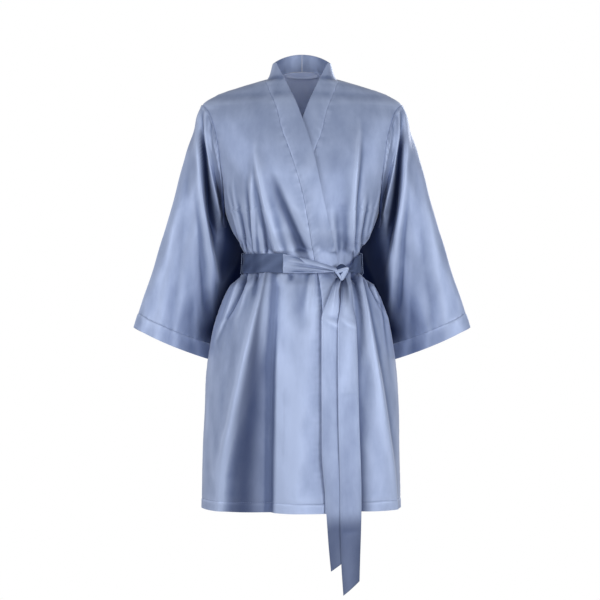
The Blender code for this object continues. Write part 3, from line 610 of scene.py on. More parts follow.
def cloth(name, middle, thickness, around=False, centre=None, face=None, inside=None, shade=0.0):
    """A wall of cloth round a grid of middle points, its inner side towards the centre; returns it and its cut.

    Its UV map, cut, is in metres on the cut piece. Two attributes carry painted shade for the finish: how hollow
    the cloth is, and how dark it is painted where hardly any light gets in.
    """
    rows, columns = middle.shape[:2]
    centre = middle * (0, 0, 1) if centre is None else centre
    step = grid_normals(middle, around)
    step = step * np.sign(((middle - centre) * step).sum(-1).mean())
    deep = hollow(middle, step, around).ravel()
    step = step * thickness / 2
    points = concatenate([middle + step, middle - step]).reshape(-1, 3)
    i, j = corners_of(rows, columns, around)
    cell = i * columns + j % columns
    flat = stack(spread(middle, around), -1)
    count = rows * columns
    faces, uvs = [cell, cell[:, ::-1] + count], [flat[i, j], flat[i, j][:, ::-1]]
    at = flat[:, :columns].reshape(-1, 2)
    for loop in rim_of(rows, columns, around):
        here, there = loop[:-1], loop[1:]
        faces.append(stack([there, here, here + count, there + count], -1))
        uvs.append(at[faces[-1] % count])
    faces, uvs = concatenate(faces), concatenate(uvs)
    if facing_in(points, faces, points.mean(0)):
        faces, uvs = faces[:, ::-1], uvs[:, ::-1]
    new = new_object(name, points, [faces], face or SATIN, inside or SATIN_INSIDE)
    mesh = new.data
    mesh.uv_layers.new(name="cut").data.foreach_set("uv", np.ascontiguousarray(uvs, np.float32).ravel())
    mesh.polygons.foreach_set("material_index", np.isin(arange(len(faces)) // len(cell), 1).astype(np.int32))
    painted_shade = np.tile(np.broadcast_to(shade, (rows, columns)).ravel(), 2)
    for layer, values in (("hollow", concatenate([deep, -deep])), ("painted_shade", painted_shade)):
        mesh.attributes.new(layer, "FLOAT", "POINT").data.foreach_set("value", values.astype(np.float32))
    mesh.update()
    return new, cut_of(middle, around)


def join(piece, slot, *nodes):
    """The piece rides on the robe and stands for its solids; its slot is not used."""
    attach(piece, "root")
    if nodes:
        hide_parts(*nodes)


def declare(piece, nodes):
    """Joins the piece to the robe; it stands for the given solids."""
    join(piece, "satin", *nodes)


# ---- the robe

def panel_drops():
    """Rows of the body's panels, close together near the belt and at the hem."""
    return concatenate([
        [0.0004, 0.0009, 0.0015, 0.0022, 0.003, 0.0036, 0.0045, 0.006],
        arange(0.009, 0.325, 0.0038), arange(0.325, 0.460, 0.0021),
        arange(0.460, STITCH_DROP - 0.006, 0.0058), STITCH_DROP + array([-0.003, -0.001, 0, 0.001, 0.003]),
        linspace(STITCH_DROP + 0.006, HEM_DROP - 0.003, 4), HEM_DROP - array([0.0012, 0.0004, 0]),
    ])


def side_angle(drop, front):
    """A panel's edge beside the side seam or the armhole's oval."""
    oval = np.sqrt(clip(1 - ((drop - ARMHOLE_MIDDLE) / ARMHOLE_HALF) ** 2, 0, 1))
    return depth_angle(SEAM_GAP / 2 + ARMHOLE_DEPTH * oval, drop, front)


def past_neck_point(drop):
    """From 0 at the shoulder seam to 1 where the band's seam has come round to the front."""
    return clip(drop / BAND_SEAM[0].drop, 0, 1) ** 0.8


def band_seam_angle(drop):
    """Angle of the band's seam on the front; in its first 3 mm it turns in from the neck point."""
    level = maximum(drop, BAND_SEAM[0].drop)
    return front_angle(read(BAND_SEAM, level).x, level) * past_neck_point(drop)


def seam_shift(drop):
    """The angle of half a seam's gap beside the band's seam."""
    ring = read(RINGS, drop)
    turn = band_seam_angle(drop)
    return SEAM_GAP / 2 / hypot(ring.half_width * sin(turn), ring.front * cos(turn))


def seam_shares(count, width):
    """From 0 to 1 across a piece of this width, closer together beside its seams."""
    near = array([0, 0.0006, 0.0015, 0.0028, 0.0045]) / width
    return concatenate([near, linspace(near[-1], 1 - near[-1], count)[1:-1], 1 - near[::-1]])


def seam_pull(distance, along, pucker=0.0005):
    """Cloth rolled in at a seam, with small uneven puckers beside it."""
    waves = sin(along / 0.0021) * sin(along / 0.0083 + 1) + 0.5 * sin(along / 0.0036 + 2)
    return pucker * waves * exp(-distance / 0.007) - SEAM_ROLL * bell(distance, SEAM_SOFT)


def hem_fold(drop):
    """The turned-up hem: a hair thicker below a groove along its stitches."""
    below = smooth(STITCH_DROP - 0.001, STITCH_DROP + 0.002, drop)
    return 0.0005 * below - 0.0008 * bell(drop - STITCH_DROP, 0.0011)


def panel(angle, drop, lift):
    """Middle points of a body panel: folds, the overlap's lift, rolled seams and the turned-up hem."""
    plain = skin(angle, drop, np.zeros_like(angle))
    across, down = spread(plain)
    out = relief(angle, drop) + lift * wrap(angle, drop) + hem_fold(drop)
    out += seam_pull(across, down) + seam_pull(across[:, -1:] - across, down + 0.1)
    return skin(angle, drop, out)


def pleat_shade(angle, drop):
    """Shade painted into the cloth down in its narrow pleats."""
    front, back = ([fold for fold in creases if fold.high_top < 0] for creases in (FRONT_CREASES, BACK_CREASES))
    return PLEAT_DARK * smooth(0.001, 0.007, -body_folds(front, back, angle, drop))


def painted_shadow_beside_tail(x, drop):
    """Painted shadow: a dark line painted on the skirt beside the upper free end, wider towards the hem."""
    tail = read(TAIL_UPPER, drop)
    line = bell(x - tail.x - tail.half_width, 0.0022 + 0.0016 * smooth(0.45, 0.85, drop))
    return 0.50 * line * smooth(TAIL_UPPER[0].drop, 0.44, drop)


def body_panels():
    """The back and the two fronts; the right front lies over the left one."""
    drop = panel_drops()[:, None]
    shares = {name: seam_shares(*columns) for name, columns in PANEL_COLUMNS.items()}
    inner, outer = band_seam_angle(drop) + seam_shift(drop), -side_angle(drop, True)
    back_drop = np.append(SEAM_GAP / 2, drop)[:, None]
    back_edge = side_angle(back_drop, False)
    for name, angle, level, lifted in (
        ("front_left", blend(inner, outer, shares["front_left"]), drop, 0),
        ("front_right", -pi - blend(inner, outer, shares["front_right"]), drop, 1),
        ("back", blend(back_edge, pi - back_edge, shares["back"]), back_drop, 0),
    ):
        middle = panel(angle, level, lifted)
        # Painted shade in the pleats and the front trough, and a painted shadow beside the upper free end
        by_place = {"front_right": front_trough(angle, level)[1], "front_left": painted_shadow_beside_tail(middle[..., 0], level)}
        dark = maximum(pleat_shade(angle, level), by_place.get(name, 0))
        piece, cut = cloth(name + "_satin", middle, CLOTH, shade=dark)
        hem = stitches(name + "_hem_stitches", middle[np.argmin(np.abs(level - STITCH_DROP))], CLOTH / 2 + 0.0001)
        declare(piece, (name + "_upper", name + "_lower"))


def band_half(name, right):
    """Half of the neck and front band: from the centre back round the neck and down the front edge."""
    turns = linspace(pi / 2 - 0.003, 0, 46, endpoint=False)
    drop = panel_drops()
    edge_drop = maximum(drop - read(BAND_SQUARE, drop).above, -COLLAR_STAND)
    edge = front_angle(read(BAND_EDGE, edge_drop).x, edge_drop) * past_neck_point(drop)
    share = seam_shares(*BAND_COLUMNS)
    angle = blend(np.append(turns, band_seam_angle(drop) - seam_shift(drop))[:, None],
                  np.append(turns, edge)[:, None], share)
    level = blend(np.append(0 * turns - SEAM_GAP / 2, drop)[:, None],
                  np.append(0 * turns - COLLAR_STAND, edge_drop)[:, None], share)
    plain = skin(angle, level, np.zeros_like(level))
    across, down = spread(plain)
    lifted = -(BAND_CLOTH - CLOTH) / 2
    if right:
        angle = pi - angle
        lifted = wrap(angle, level)
    crown = 0.0009 * sin(pi * share) ** 0.7
    ripple = 0.0005 * sin(down / 0.013 + 3 * share) * sin(down / 0.031) * sin(pi * share)
    out = relief(angle, level) + lifted + crown + ripple + seam_pull(across, down, 0.0003)
    piece, cut = cloth(name + "_satin", skin(angle, level, out), BAND_CLOTH, inside=SATIN)
    declare(piece, (name + "_upper", name + "_lower"))


def armhole_loop(turn):
    """The sleeve's first ring: the armhole's oval, a little larger, lying on the body's panels."""
    drop = ARMHOLE_MIDDLE - (ARMHOLE_HALF + ARMHOLE_LAP) * cos(turn)
    depth = (ARMHOLE_DEPTH + ARMHOLE_LAP) * np.abs(sin(turn))
    angle = where(sin(turn) > 0, -depth_angle(depth, drop, True), depth_angle(depth, drop, False))
    over_ridge = 0.0006 * smooth(0.35, 0.85, cos(turn))
    return skin(angle, drop, 0.0011 + over_ridge + relief(angle, drop))


def sleeve_points(along, turn):
    """The wearer's left sleeve: rounded sections, melted into the armhole's oval at the top."""
    at = read(SLEEVE, along, None)
    outer = stack([at.outer_x, at.outer_y, -at.outer_drop], -1)
    inner = stack([at.inner_x, at.inner_y, -at.inner_drop], -1)
    centre, half = (outer + inner) / 2, (outer - inner) / 2
    forward = unit(half[:, [1, 0, 2]] * (1, -1, 0))
    along = along[:, None]
    swell = at.front[:, None] * (1 + SLEEVE_LEAN * cos(turn))
    dip = 0.42 * maximum(sin(turn), 0) * np.abs(forward[:, :1]) * swell
    swell = where(sin(turn) > 0, swell, at.back[:, None]) * sin(turn)
    oval = half[:, None] * cos(turn)[:, None] + forward[:, None] * swell[..., None]
    points = centre[:, None] + blend(armhole_loop(turn) - centre[0], oval, smooth(0.0, 0.30, along)[..., None])
    points[..., 2] -= MOUTH_DIP * dip * smooth(0.45, 1.0, along)
    shoulder = bell(along - 0.095, 0.060) * smooth(0.4, 1.0, cos(turn))
    points[..., 0] += 0.0036 * shoulder * smooth(0.0, 0.05, along)
    return points


def sleeve_relief(points, turn, along):
    """Folds of the sleeve, soft ripples along it and puckers at the armhole."""
    x, drop = points[..., 0], -points[..., 2]
    total = np.zeros_like(x)
    for folds, facing in (SLEEVE_FRONT, sin(turn)), (SLEEVE_BACK, -sin(turn)):
        for fold in folds:
            total += fold_height(fold, x, drop) * smooth(-0.1, 0.3, facing)
    total += 0.0008 * sin(5 * turn + 9 * along) * sin(17 * along + 2 * turn)
    total += 0.0004 * sin(11 * turn - 13 * along) * sin(31 * along + turn)
    pucker = 0.0009 * sin(37 * turn + 3 * sin(5 * turn)) * exp(-along / 0.035)
    return total + pucker + 0.0007 * bell(along - 0.016, 0.011)


def sleeve_valley_painted_shade(points, turn, nearer, open_to):
    """Shade painted between the sleeve's front edge and the robe's side: down the valley and over the inner side."""
    drop = -points[..., 2]
    t, path = fold_path(SLEEVE_VALLEY, drop)
    away = points[..., 0] - path + nearer * smooth(0.30, 0.41, drop)
    width = where(away > 0, 0.0050 + 0.0045 * t, 0.0035 + 0.0060 * t)
    near = exp(-((away / width) ** 4)) * smooth(0.085, 0.140, drop) * (1 - smooth(0.28, 0.36, drop))
    inner = smooth(0.010, -0.004, away) * smooth(0.16, 0.24, drop) * (1 - smooth(open_to - 0.13, open_to, drop))
    return VALLEY_DARK * maximum(near * smooth(-0.3, 0.1, sin(turn)), inner * smooth(0.35, -0.10, cos(turn)))


def beside_body(points, share):
    """Moves a sleeve's points sideways where they would come too near the body."""
    x, y, drop = points[..., 0], points[..., 1], -points[..., 2]
    angle = depth_angle(y, drop, False) - depth_angle(-y, drop, True)
    short = bare(angle, drop)[..., 0] + relief(angle, drop) + SLEEVE_CLEAR - x
    push = (short + hypot(short, SLEEVE_SOFT)) / 2
    moved = points.copy()
    moved[..., 0] += share * where(np.abs(angle) < pi / 2, push, 0)
    return moved


def sleeves_and_cuffs():
    """Both sleeves and their cuffs, with rows close together beside the seam between them."""
    most_at = np.radians(100)
    turn = circle(168)
    turn = turn - 0.36 * sin(turn - most_at) - 0.36 * sin(most_at)
    hair, start, split = 0.0016, CUFF_SHARE + 0.0007, 134
    along = concatenate([
        linspace(0, 1, split - 4) ** 1.15 * (CUFF_SHARE - 3 * hair), CUFF_SHARE - array([2, 1, 0.4, 0]) * hair,
        start + array([0, 0.4, 1, 2]) * hair, linspace(start + 4 * hair, 1 - 2 * hair, 9),
        1 - array([1, 0.4, 0]) * hair,
    ])
    points = sleeve_points(along, turn)
    normal = grid_normals(points, around=True)
    normal *= np.sign(((points - points.mean(1, keepdims=True)) * normal).sum(-1).mean())
    along = along[:, None]
    seam = (along - CUFF_SHARE) * SLEEVE_LENGTH
    height = sleeve_relief(points, turn, along) * smooth(0.0, 0.03, along)
    height += seam_pull(np.abs(seam), turn * 0.1, 0.0004) + 0.0006 * smooth(0, 0.003, seam)
    points = beside_body(points + normal * height[..., None], smooth(0.0, 0.12, along))
    # Painted shade on the part of the sleeve that lies back towards the body
    behind = smooth(0.0, 0.055, points[..., 1]) * smooth(-0.25, 0.05, sin(turn))
    behind = behind * smooth(0.02, 0.10, along) * (1 - smooth(0.86, 1.0, along))
    # Each sleeve's painted valley shade is set apart: a shift of its inner edge and the drop where it stops
    for side, name, valley in ((1, "left", (0.0, 0.56)), (-1, "right", (0.012, 0.49))):
        whole = points * (side, 1, 1)
        centre = whole.mean(1, keepdims=True)
        dark = maximum(behind, sleeve_valley_painted_shade(points, turn, *valley))[:split]
        sleeve, cut = cloth("sleeve_" + name + "_satin", whole[:split], CLOTH, True, centre[:split], shade=dark)
        declare(sleeve, ("sleeve_" + name,))
        band, cut = cloth("cuff_" + name + "_satin", whole[split:], BAND_CLOTH, True, centre[split:])
        declare(band, ("cuff_" + name,))


# ---- sewing thread

def stitches(name, path, lift):
    """A row of stitches along a path: small rods with tapered ends, half sunk in the cloth."""
    total = np.append(0, np.cumsum(np.linalg.norm(np.diff(path, axis=0), axis=-1)))
    at = (arange(int(total[-1] / STITCH_PITCH) - 1)[:, None] + 0.5) * STITCH_PITCH
    at = at + linspace(-0.5, 0.5, 5) * STITCH_LENGTH
    spine = stack([np.interp(at, total, path[:, k]) for k in range(3)], -1)
    axis = unit(spine[:, -1] - spine[:, 0])
    out = unit(spine[:, 2] * (1, 1, 0))
    out -= axis * (out * axis).sum(-1, keepdims=True)
    out, side = out[:, None, None], cross(axis, out)[:, None, None]
    turn = circle(5)[:, None]
    radius = STITCH_RADIUS * array([0.35, 0.85, 1, 0.85, 0.35])[:, None, None]
    return tubes(name, spine[:, :, None] + out * lift + (out * cos(turn) + side * sin(turn)) * radius)


def tubes(name, points, *nodes):
    """Closed tubes of thread as one object: points are tubes by rings by places round the ring."""
    count, rings, places = points.shape[:3]
    first = (arange(count) * rings * places)[:, None, None]
    i, j = corners_of(rings, places, True)
    walls = (i * places + j % places + first).reshape(-1, 4)
    one = arange(1, places - 1)
    fan = stack([0 * one, one, one + 1], -1)
    caps = (concatenate([fan[:, ::-1], fan + (rings - 1) * places]) + first).reshape(-1, 3)
    middle = points.mean(2).repeat(places, 1).reshape(-1, 3)
    points = points.reshape(-1, 3)
    if facing_in(points, walls, middle[walls[:, 0]]):
        walls, caps = walls[:, ::-1], caps[:, ::-1]
    new = new_object(name, points, [walls, caps], THREAD)
    join(new, "thread", *nodes)
    return new


def belt_loop(name, angle):
    """A thread loop at a side seam: two twisted strands, sewn down above and below the belt."""
    t = ribbon(61)
    angle = np.full(61, angle)
    drop = BELT_DROP + 0.001 + (BELT_WIDTH / 2 + 0.0035) * t
    over = smooth(1.0, 0.89, np.abs(t))
    out = blend(CLOTH / 2 + 0.001, BELT_OUT + 0.0028, over) + relief(angle, drop) * (1 - over)
    spine = skin(angle, drop, out)
    along = unit(np.gradient(spine, axis=0))
    side = unit(cross(along, outward(angle, drop)))
    up = cross(side, along)
    phase = (linspace(0, 18 * pi, 61) + array([[0], [pi]]))[..., None]
    strand = spine + 0.0003 * (side * cos(phase) + up * sin(phase))
    turn = circle(8)[:, None]
    ringed = side[:, None] * cos(turn) + up[:, None] * sin(turn)
    tubes(name + "_thread", strand[:, :, None] + 0.00035 * ringed, name)


def hanger_loop():
    """The thin loop inside the back neck, sewn at both ends and sagging between them."""
    t = linspace(-1, 1, 61)
    angle = pi / 2 - t * 0.027 / 0.066
    drop = 0.0045 + 0.0060 * (1 - t**2)
    path = skin(angle, drop, -0.0021 - 0.0045 * (1 - t**4) + relief(angle, drop))
    side = unit(cross(np.gradient(path, axis=0), outward(angle, drop)))
    across = linspace(-0.5, 0.5, 7)[:, None]
    bulge = outward(angle, drop)[:, None] * -0.0004 * (1 - (2 * across) ** 2)
    piece, _ = cloth("hanger_loop_satin", path[:, None] + side[:, None] * (0.005 * across) + bulge, CLOTH)
    join(piece, "satin", "hanger_loop")


# ---- the tie belt

def folded_out(across, half_width):
    """How far a ribbon bulges where it is gathered narrower than it was cut."""
    return 0.42 * np.sqrt(maximum((BELT_WIDTH / 2) ** 2 - half_width**2, 0)) * (1 - across**2)


def rounded(across):
    """The rounded edges of a belt sewn as a tube and pressed flat."""
    return -0.0007 * smooth(0.86, 1.0, np.abs(across)) ** 2


def belt_wrap():
    """The belt from under its front stretch, round the wearer's right side and the back, to the knot."""
    first = front_angle(BELT_FRONT[0].x + 0.010, BELT_DROP)
    last = front_angle(BELT_END[-1].x, BELT_DROP)
    turns = linspace(first, last - 2 * pi, 260)
    ends = linspace(BELT_END[-1].x, BELT_END[0].x, 30)[1:]
    end = read(BELT_END, ends, "x")
    end_angle = front_angle_beneath(ends, end.drop, end.out) - 2 * pi
    near_knot = smooth(0.3, 1.0, linspace(0, 1, len(ends)))
    angle, drop, half, out, near_knot = (np.append(start + 0 * turns, finish)[:, None] for start, finish in (
        (turns, end_angle), (BELT_DROP + 0.001, end.drop), (BELT_WIDTH / 2, end.half_width),
        (BELT_OUT + wrap(turns, BELT_DROP), end.out), (0, near_knot)))
    across = ribbon(25)
    creased = 0.0007 * sin(9 * angle + 2 * across) * sin(3 * across + 5 * angle)
    creased += 0.0005 * sin(4.2 * across + 3 * sin(3 * angle)) * sin(2 * angle + 1)
    pleats = 0.0013 * cos(2.6 * pi * (across + 0.1)) * near_knot
    out = out + 0.6 * folded_out(across, half) + creased + pleats + rounded(across)
    # The wrap takes the darker painted-shade copy of the satin
    piece, cut = cloth("belt_wrap_satin", skin(angle, drop + half * across, out), BELT_CLOTH, face=BELT_SATIN_PAINTED_SHADE)
    declare(piece, ("belt_wrap",))


def front_stretch(start, count):
    """Along the belt's front stretch from a start to the knot: x, share of the way, and its form there."""
    x = linspace(start, BELT_FRONT[-1].x, count)[:, None]
    return x, (x - x[0]) / (x[-1] - x[0]), read(BELT_FRONT, x, "x")


def belt_front():
    """The gathered stretch over the wrap, which narrows to the knot, with its upper edge folded over."""
    x, share, row = front_stretch(BELT_FRONT[0].x, 110)
    across = ribbon(41)
    ease = smooth(0, 0.4, share)
    pleat = 0.0018 * cos(3.2 * pi * (across - 0.2)) * ease
    pleat += 0.0009 * cos(7.3 * pi * across + 2 * share) * smooth(0.2, 0.8, share)
    pleat += 0.0005 * sin(9 * share + 4 * across) * (1 - ease)
    out = row.out + 0.5 * folded_out(across, row.half_width) + pleat + rounded(across)
    level = row.drop + row.half_width * across
    # Painted shade: the gathered stretch is painted a little darker all over
    piece, cut = cloth("belt_front_satin", skin(front_angle_beneath(x, level, row.out), level, out), BELT_CLOTH,
                       shade=0.12)
    x, share, row = front_stretch(-0.008, 90)
    strip = ribbon(13)
    down = 0.0052 * smooth(0, 0.25, share) * (1 - 0.35 * share) * (1 + strip)
    level = row.drop - row.half_width * 0.93 + down
    own = 0.5 * folded_out(-1 + down / row.half_width, row.half_width)
    lift = 0.003 + 0.001 * (1 - strip**2) + 0.0003 * sin(14 * share)
    folded = skin(front_angle_beneath(x, level, row.out), level, row.out + np.abs(own) + lift)
    edge, _ = cloth("belt_front_turned_edge", folded, 0.0010)
    join(edge, "satin")
    declare(piece, ("belt_front",))


def belt_knot():
    """The knot: a pleated lump, and the belt's own turn over it, drawn together at its lower middle."""
    place = skin(front_angle_beneath(KNOT_X, KNOT_DROP, KNOT_OUT), KNOT_DROP, KNOT_OUT)
    polar = concatenate([[0.02], linspace(0.06, pi - 0.06, 56), [pi - 0.02]])[:, None]
    turn = circle(84)
    swell = 1 + 0.07 * cos(3 * turn + 0.6) * sin(polar) + 0.05 * cos(5 * polar)
    creases = 0.035 * cos(9 * turn + 2.2 * sin(2 * polar) + 1) + 0.02 * cos(17 * turn - 3 * polar)
    swell = (swell + creases * sin(polar) ** 0.5) * sin(polar)
    upright = (1 + 0.03 * cos(7 * turn)) * cos(polar)
    grid = stack([swell * cos(turn), swell * sin(turn), upright], -1) * KNOT_SIZE + place
    # The lump is the darker copy of the satin with painted shade on top, for the shadow under the belt's turn
    lump, _ = cloth("belt_knot_satin", grid, KNOT_CLOTH, True, place, face=BELT_SATIN_PAINTED_SHADE, shade=0.55)
    swing, own = circle(96)[:, None], circle(36)
    pull = exp(2.3 * cos(swing - array([0.95, 0.2, 1.5]) * pi))
    corners = array([(-0.0105, -0.001), (0.0105, 0.0055), (0, -0.015)])
    middle = pull / pull.sum(1, keepdims=True) @ corners
    thick = 0.0038 - 0.0014 * bell(swing - 1.2 * pi, 0.5) + 0.0007 * cos(swing + 0.4)
    thick = thick * (1 + 0.10 * cos(5 * own + 2.2 * swing) + 0.05 * cos(9 * own - 3 * swing))
    x = middle[:, :1] + cos(swing) * thick * cos(own)
    y = -KNOT_SIZE[1] * 0.80 - thick * sin(own) * 0.8 + 0.002 * cos(swing)
    z = middle[:, 1:] + sin(swing) * thick * cos(own)
    ringed = stack([x, y, z], -1) + place
    closed = concatenate([ringed, ringed[:1]])
    turned, turned_cut = cloth("belt_knot_turn", closed, KNOT_CLOTH, True, closed.mean(1, keepdims=True))
    cut = cut_of(blend(place, grid, array([0.84, 0.78, 0.84])), True)
    declare(lump, ("belt_knot",))
    declare(turned, ())


def belt_tail(name, rows, seed, knot_shade_reach):
    """A free end: gathered at the knot, hanging past the hem, creased, cut on a slant."""
    top, low = rows[0].drop, rows[-1].drop
    drop = blend(top, low, linspace(0, 1, 230) ** 1.15)[:, None]
    row = read(rows, drop)
    across = ribbon(29)
    x = row.x + row.half_width * across
    fresh = drop - top
    pleats = 0.0016 * cos(2.4 * pi * across + seed) * bell(fresh, 0.045)
    waves = 0.0016 * sin(fresh / 0.027 + 1.1 * across + seed) * exp(-fresh / 0.12)
    waves += 0.0009 * sin(fresh / 0.046 + 1.6 * across + 2 * seed) * smooth(0.03, 0.1, fresh)
    waves += 0.0011 * across * sin(fresh / 0.071 + seed) * smooth(0.05, 0.2, fresh)
    crease = 0.0011 * bell(fresh - 0.085 - 0.010 * across, 0.006) * smooth(-1, 0.2, across)
    out = row.out + folded_out(across, row.half_width) + pleats + waves + crease + rounded(across)
    lay = np.minimum(drop, HEM_DROP)
    middle = skin(front_angle(x, lay), lay, out)
    middle[..., 0] = x
    middle[..., 2] = TAIL_SLANT * smooth(low - 0.12, low, drop) * across - drop
    # Painted shade: darker towards the foot and past the hem, and dark just under the knot as far as the given reach
    shade = 0.26 * smooth(0.50, 0.84, drop) + 0.46 * smooth(HEM_DROP - 0.010, HEM_DROP + 0.030, drop)
    shade = maximum(shade, UNDER_KNOT_DARK * bell(fresh, knot_shade_reach) * smooth(0.75, 0.25, across))
    piece, cut = cloth(name + "_satin", middle, BELT_CLOTH, shade=shade)
    declare(piece, (name,))


# ---- finishes

def linear(code):
    """An sRGB hex colour as the linear numbers that a shader takes."""
    value = array([int(code[k:k + 2], 16) for k in (1, 3, 5)]) / 255
    return (*where(value <= 0.04045, value / 12.92, ((value + 0.055) / 1.055) ** 2.4).tolist(), 1)


def feed(tree, node, inputs):
    """Gives a node's sockets their values, or the sockets that feed them."""
    for name, value in inputs.items():
        if isinstance(value, bpy.types.NodeSocket):
            tree.links.new(value, node.inputs[name])
        else:
            node.inputs[name].default_value = value


def add(tree, kind, output, inputs=None, **settings):
    """Adds a shader node with its settings and inputs, and returns one of its outputs."""
    node = tree.nodes.new("ShaderNode" + kind)
    for name, value in settings.items():
        setattr(node, name, value)
    feed(tree, node, inputs or {})
    return node.outputs[output]


def mix(tree, share, low, high):
    """A colour between two."""
    return add(tree, "Mix", "Result", {"Factor": share, "A": low, "B": high}, data_type="RGBA")


def noise(tree, place, scale, detail, roughness=0.5, distortion=0.0):
    """Soft noise."""
    inputs = {"Vector": place, "Scale": scale, "Detail": detail, "Roughness": roughness, "Distortion": distortion}
    return add(tree, "TexNoise", "Fac", inputs)


def ramp(tree, value, low, high, start=0.0, end=1.0):
    """A value from start to end as one from low to high."""
    return add(tree, "MapRange", "Result", {
        "Value": value, "From Min": start, "From Max": end, "To Min": low, "To Max": high})


def bumps(tree, *rows):
    """Bumps one over another, from rows of height, distance and strength."""
    normal = {}
    for row in rows:
        normal = {"Normal": add(tree, "Bump", "Normal", dict(zip(("Height", "Distance", "Strength"), row)) | normal)}
    return normal


def new_material(name):
    """An empty node material: the material, its tree, its shader and the object's own coordinates."""
    material = bpy.data.materials.new(name)
    material.use_nodes = True
    tree = material.node_tree
    return material, tree, tree.nodes["Principled BSDF"], add(tree, "TexCoord", "Object")


def woven_satin(name, light, dark, roughness, sheen, gloss, metallic=0.35):
    """Polyester satin, woven: long floating threads give one smooth sheen, and hanging leaves soft crumples.

    The real threads lie about 0.1 mm apart, so the weave is drawn at 0.7 mm, where it can be seen. Painted shade:
    hollows are painted a little darker than ridges, and where hardly any light gets in the colour is painted
    towards dark navy, with the sheen and gloss turned down.
    """
    material, tree, shader, place = new_material(name)
    cut = add(tree, "UVMap", "UV", uv_map="cut")
    hang = add(tree, "Mapping", "Vector", {"Vector": place, "Scale": (1.0, 1.0, 0.45)})
    threads = add(tree, "Mapping", "Vector", {"Vector": cut, "Scale": (700.0, 38.0, 1.0)})
    slub = noise(tree, threads, 1.0, 2.0)
    weft = add(tree, "TexWave", "Fac", {"Vector": cut, "Scale": 449.0, "Distortion": 0.6}, bands_direction="Y")
    crumple = noise(tree, hang, 75.0, 4.0, 0.6, 0.4)
    soft = noise(tree, hang, 24.0, 2.0, 0.5, 0.8)
    folds = add(tree, "Attribute", "Fac", attribute_name="hollow")
    painted_shade = add(tree, "Attribute", "Fac", attribute_name="painted_shade")
    # Painted shade: deeper hollows give a darker tone, ridges a lighter one
    lit = add(tree, "Math", "Value", {0: folds, 1: -0.40, 2: 0.32}, operation="MULTIPLY_ADD")
    patches = noise(tree, hang, 40.0, 3.0, 0.55)
    mixed = add(tree, "Math", "Value", {0: patches, 1: 0.5, 2: lit}, operation="MULTIPLY_ADD")
    tone = ramp(tree, mixed, 0.0, 1.0, 0.20, 0.90)
    # Painted shade: the base colour is pulled to dark navy by the shade attribute, and sheen and gloss fade with it
    feed(tree, shader, {
        "Base Color": mix(tree, painted_shade, mix(tree, tone, linear(dark), linear(light)), linear("#17264E")),
        "Roughness": ramp(tree, slub, roughness - 0.05, roughness + 0.05, 0.3, 0.7),
        "Sheen Weight": ramp(tree, painted_shade, sheen, 0.0),
        "Specular IOR Level": ramp(tree, painted_shade, gloss, 0.0),
        "Tangent": add(tree, "Tangent", "Tangent", direction_type="UV_MAP", uv_map="cut"),
        "Anisotropic": 0.45, "Metallic": metallic, "Sheen Roughness": 0.35, "IOR": 1.5,
    })
    feed(tree, shader, bumps(tree, (soft, 0.0022, 0.40), (crumple, 0.0003, 0.45), (slub, 0.0001, 0.35),
                             (weft, 0.0001, 0.25)))
    return material


def sewing_thread():
    """Twisted polyester thread: a soft gloss broken by the twist, drawn at 0.8 mm."""
    material, tree, shader, place = new_material("twisted_sewing_thread")
    twist = add(tree, "TexWave", "Fac", {"Vector": place, "Scale": 390.0, "Distortion": 1.5},
                bands_direction="DIAGONAL")
    feed(tree, shader, {"Base Color": mix(tree, twist, linear("#6E7EA2"), linear("#94A3C4")),
                        "Roughness": 0.5, "Sheen Weight": 0.2} | bumps(tree, (twist, 0.0003, 0.6)))
    return material


def studio_floor():
    """Pale matt studio floor."""
    material, tree, shader, place = new_material("matt_studio_floor")
    grain = noise(tree, place, 40.0, 3.0)
    feed(tree, shader, {"Base Color": mix(tree, grain, linear("#E6E6E6"), linear("#EEEEEE")), "Roughness": 0.8,
                        "Emission Color": (1, 1, 1, 1), "Emission Strength": 0.25})
    return material


# ---- the studio

# Soft lights: where each stands, what it points at, its width and height, and its power in watts
MIDDLE = (0, 0, -0.42)
LIGHTS = (
    ("key", (-2.3, -2.2, 0.2), MIDDLE, (1.3, 1.8), 34),
    ("front", (0.2, -3.2, -0.1), MIDDLE, (1.6, 1.6), 12),
    ("low_right", (1.7, -2.7, -0.75), (0.1, 0, -0.6), (0.9, 1.1), 23),
    ("right", (2.7, -1.6, 0.1), MIDDLE, (1.0, 1.9), 18),
    ("back", (1.7, 2.7, 0.5), MIDDLE, (1.2, 1.7), 40),
    ("back_fill", (-2.6, 1.6, 0.1), MIDDLE, (1.0, 1.7), 10),
)
CAMERA_PLACE = (-0.004, -3.5, -0.438)
CAMERA_LENS_MM = 105


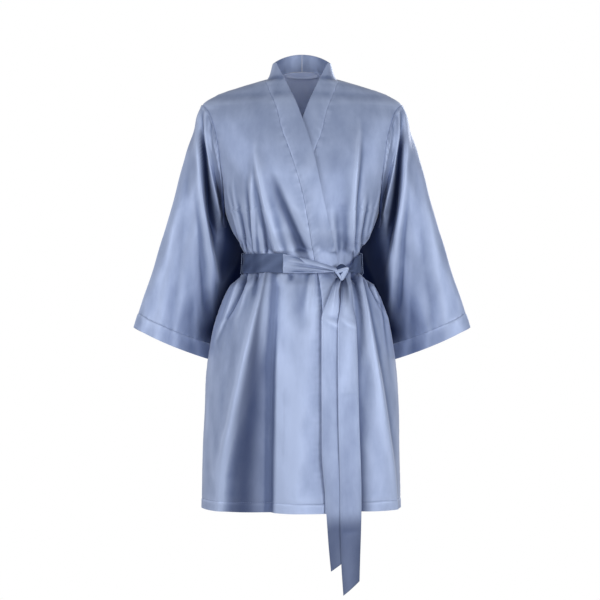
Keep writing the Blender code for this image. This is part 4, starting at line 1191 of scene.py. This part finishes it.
def floor():
    """A pale round floor below the robe, which hangs clear of it."""
    turn = circle(96)
    reach = array([0.001, 0.5, 1.0, 1.2])[:, None]
    grid = stack([reach * cos(turn), reach * sin(turn), np.full((4, 96), -1.25)], -1).reshape(-1, 3)
    i, j = corners_of(4, 96, True)
    new_object("studio_floor", grid, [i * 96 + j % 96, arange(96)[None]], studio_floor())


def studio():
    """White surroundings, the lights and the camera straight ahead."""
    world = bpy.data.worlds.new("studio")
    bpy.context.scene.world = world
    world.use_nodes = True
    tree = world.node_tree
    seen = add(tree, "LightPath", "Is Camera Ray")
    feed(tree, tree.nodes["Background"], {"Color": (1, 1, 1, 1), "Strength": ramp(tree, seen, 0.35, 1.0)})
    for name, place, aim, size, watts in LIGHTS:
        light = bpy.data.lights.new(name, "AREA")
        light.shape = "RECTANGLE"
        light.size, light.size_y = size
        light.energy = watts
        place_in_scene(name, light, place, (Vector(aim) - Vector(place)).to_track_quat("-Z", "Y").to_euler())
    view = bpy.data.cameras.new("camera")
    view.lens, view.sensor_width = CAMERA_LENS_MM, 36
    bpy.context.scene.camera = place_in_scene("camera", view, CAMERA_PLACE, (pi / 2, 0, 0))
    bpy.context.scene.view_settings.view_transform = "Standard"


SATIN = woven_satin("woven_satin_face", "#ACBBDC", "#7282A8", 0.50, 0.16, 0.5, 0.38)
# Painted shade: a darker copy of the same satin, for the belt's wrap and knot
BELT_SATIN_PAINTED_SHADE = woven_satin("woven_satin_painted_shade", "#576688", "#414F70", 0.54, 0.10, 0.35)
# The wrong side is rougher and not metallic, as real satin; its colour is painted much lighter than the face, painted
# light for the inside of the neck
SATIN_INSIDE = woven_satin("woven_satin_wrong_side_painted_light", "#D6E2FF", "#B8C8F0", 0.70, 0.20, 0.3, 0.0)
THREAD = sewing_thread()

body_panels()
band_half("band_left", False)
band_half("band_right", True)
sleeves_and_cuffs()
hanger_loop()
belt_wrap()
belt_front()
belt_knot()
belt_tail("belt_tail_under", TAIL_UNDER, 0.4, 0.012)
belt_tail("belt_tail_upper", TAIL_UPPER, 2.0, 0.040)
belt_loop("belt_loop_left", 0.0)
belt_loop("belt_loop_right", pi)
floor()
studio()

bpy.context.view_layer.update()
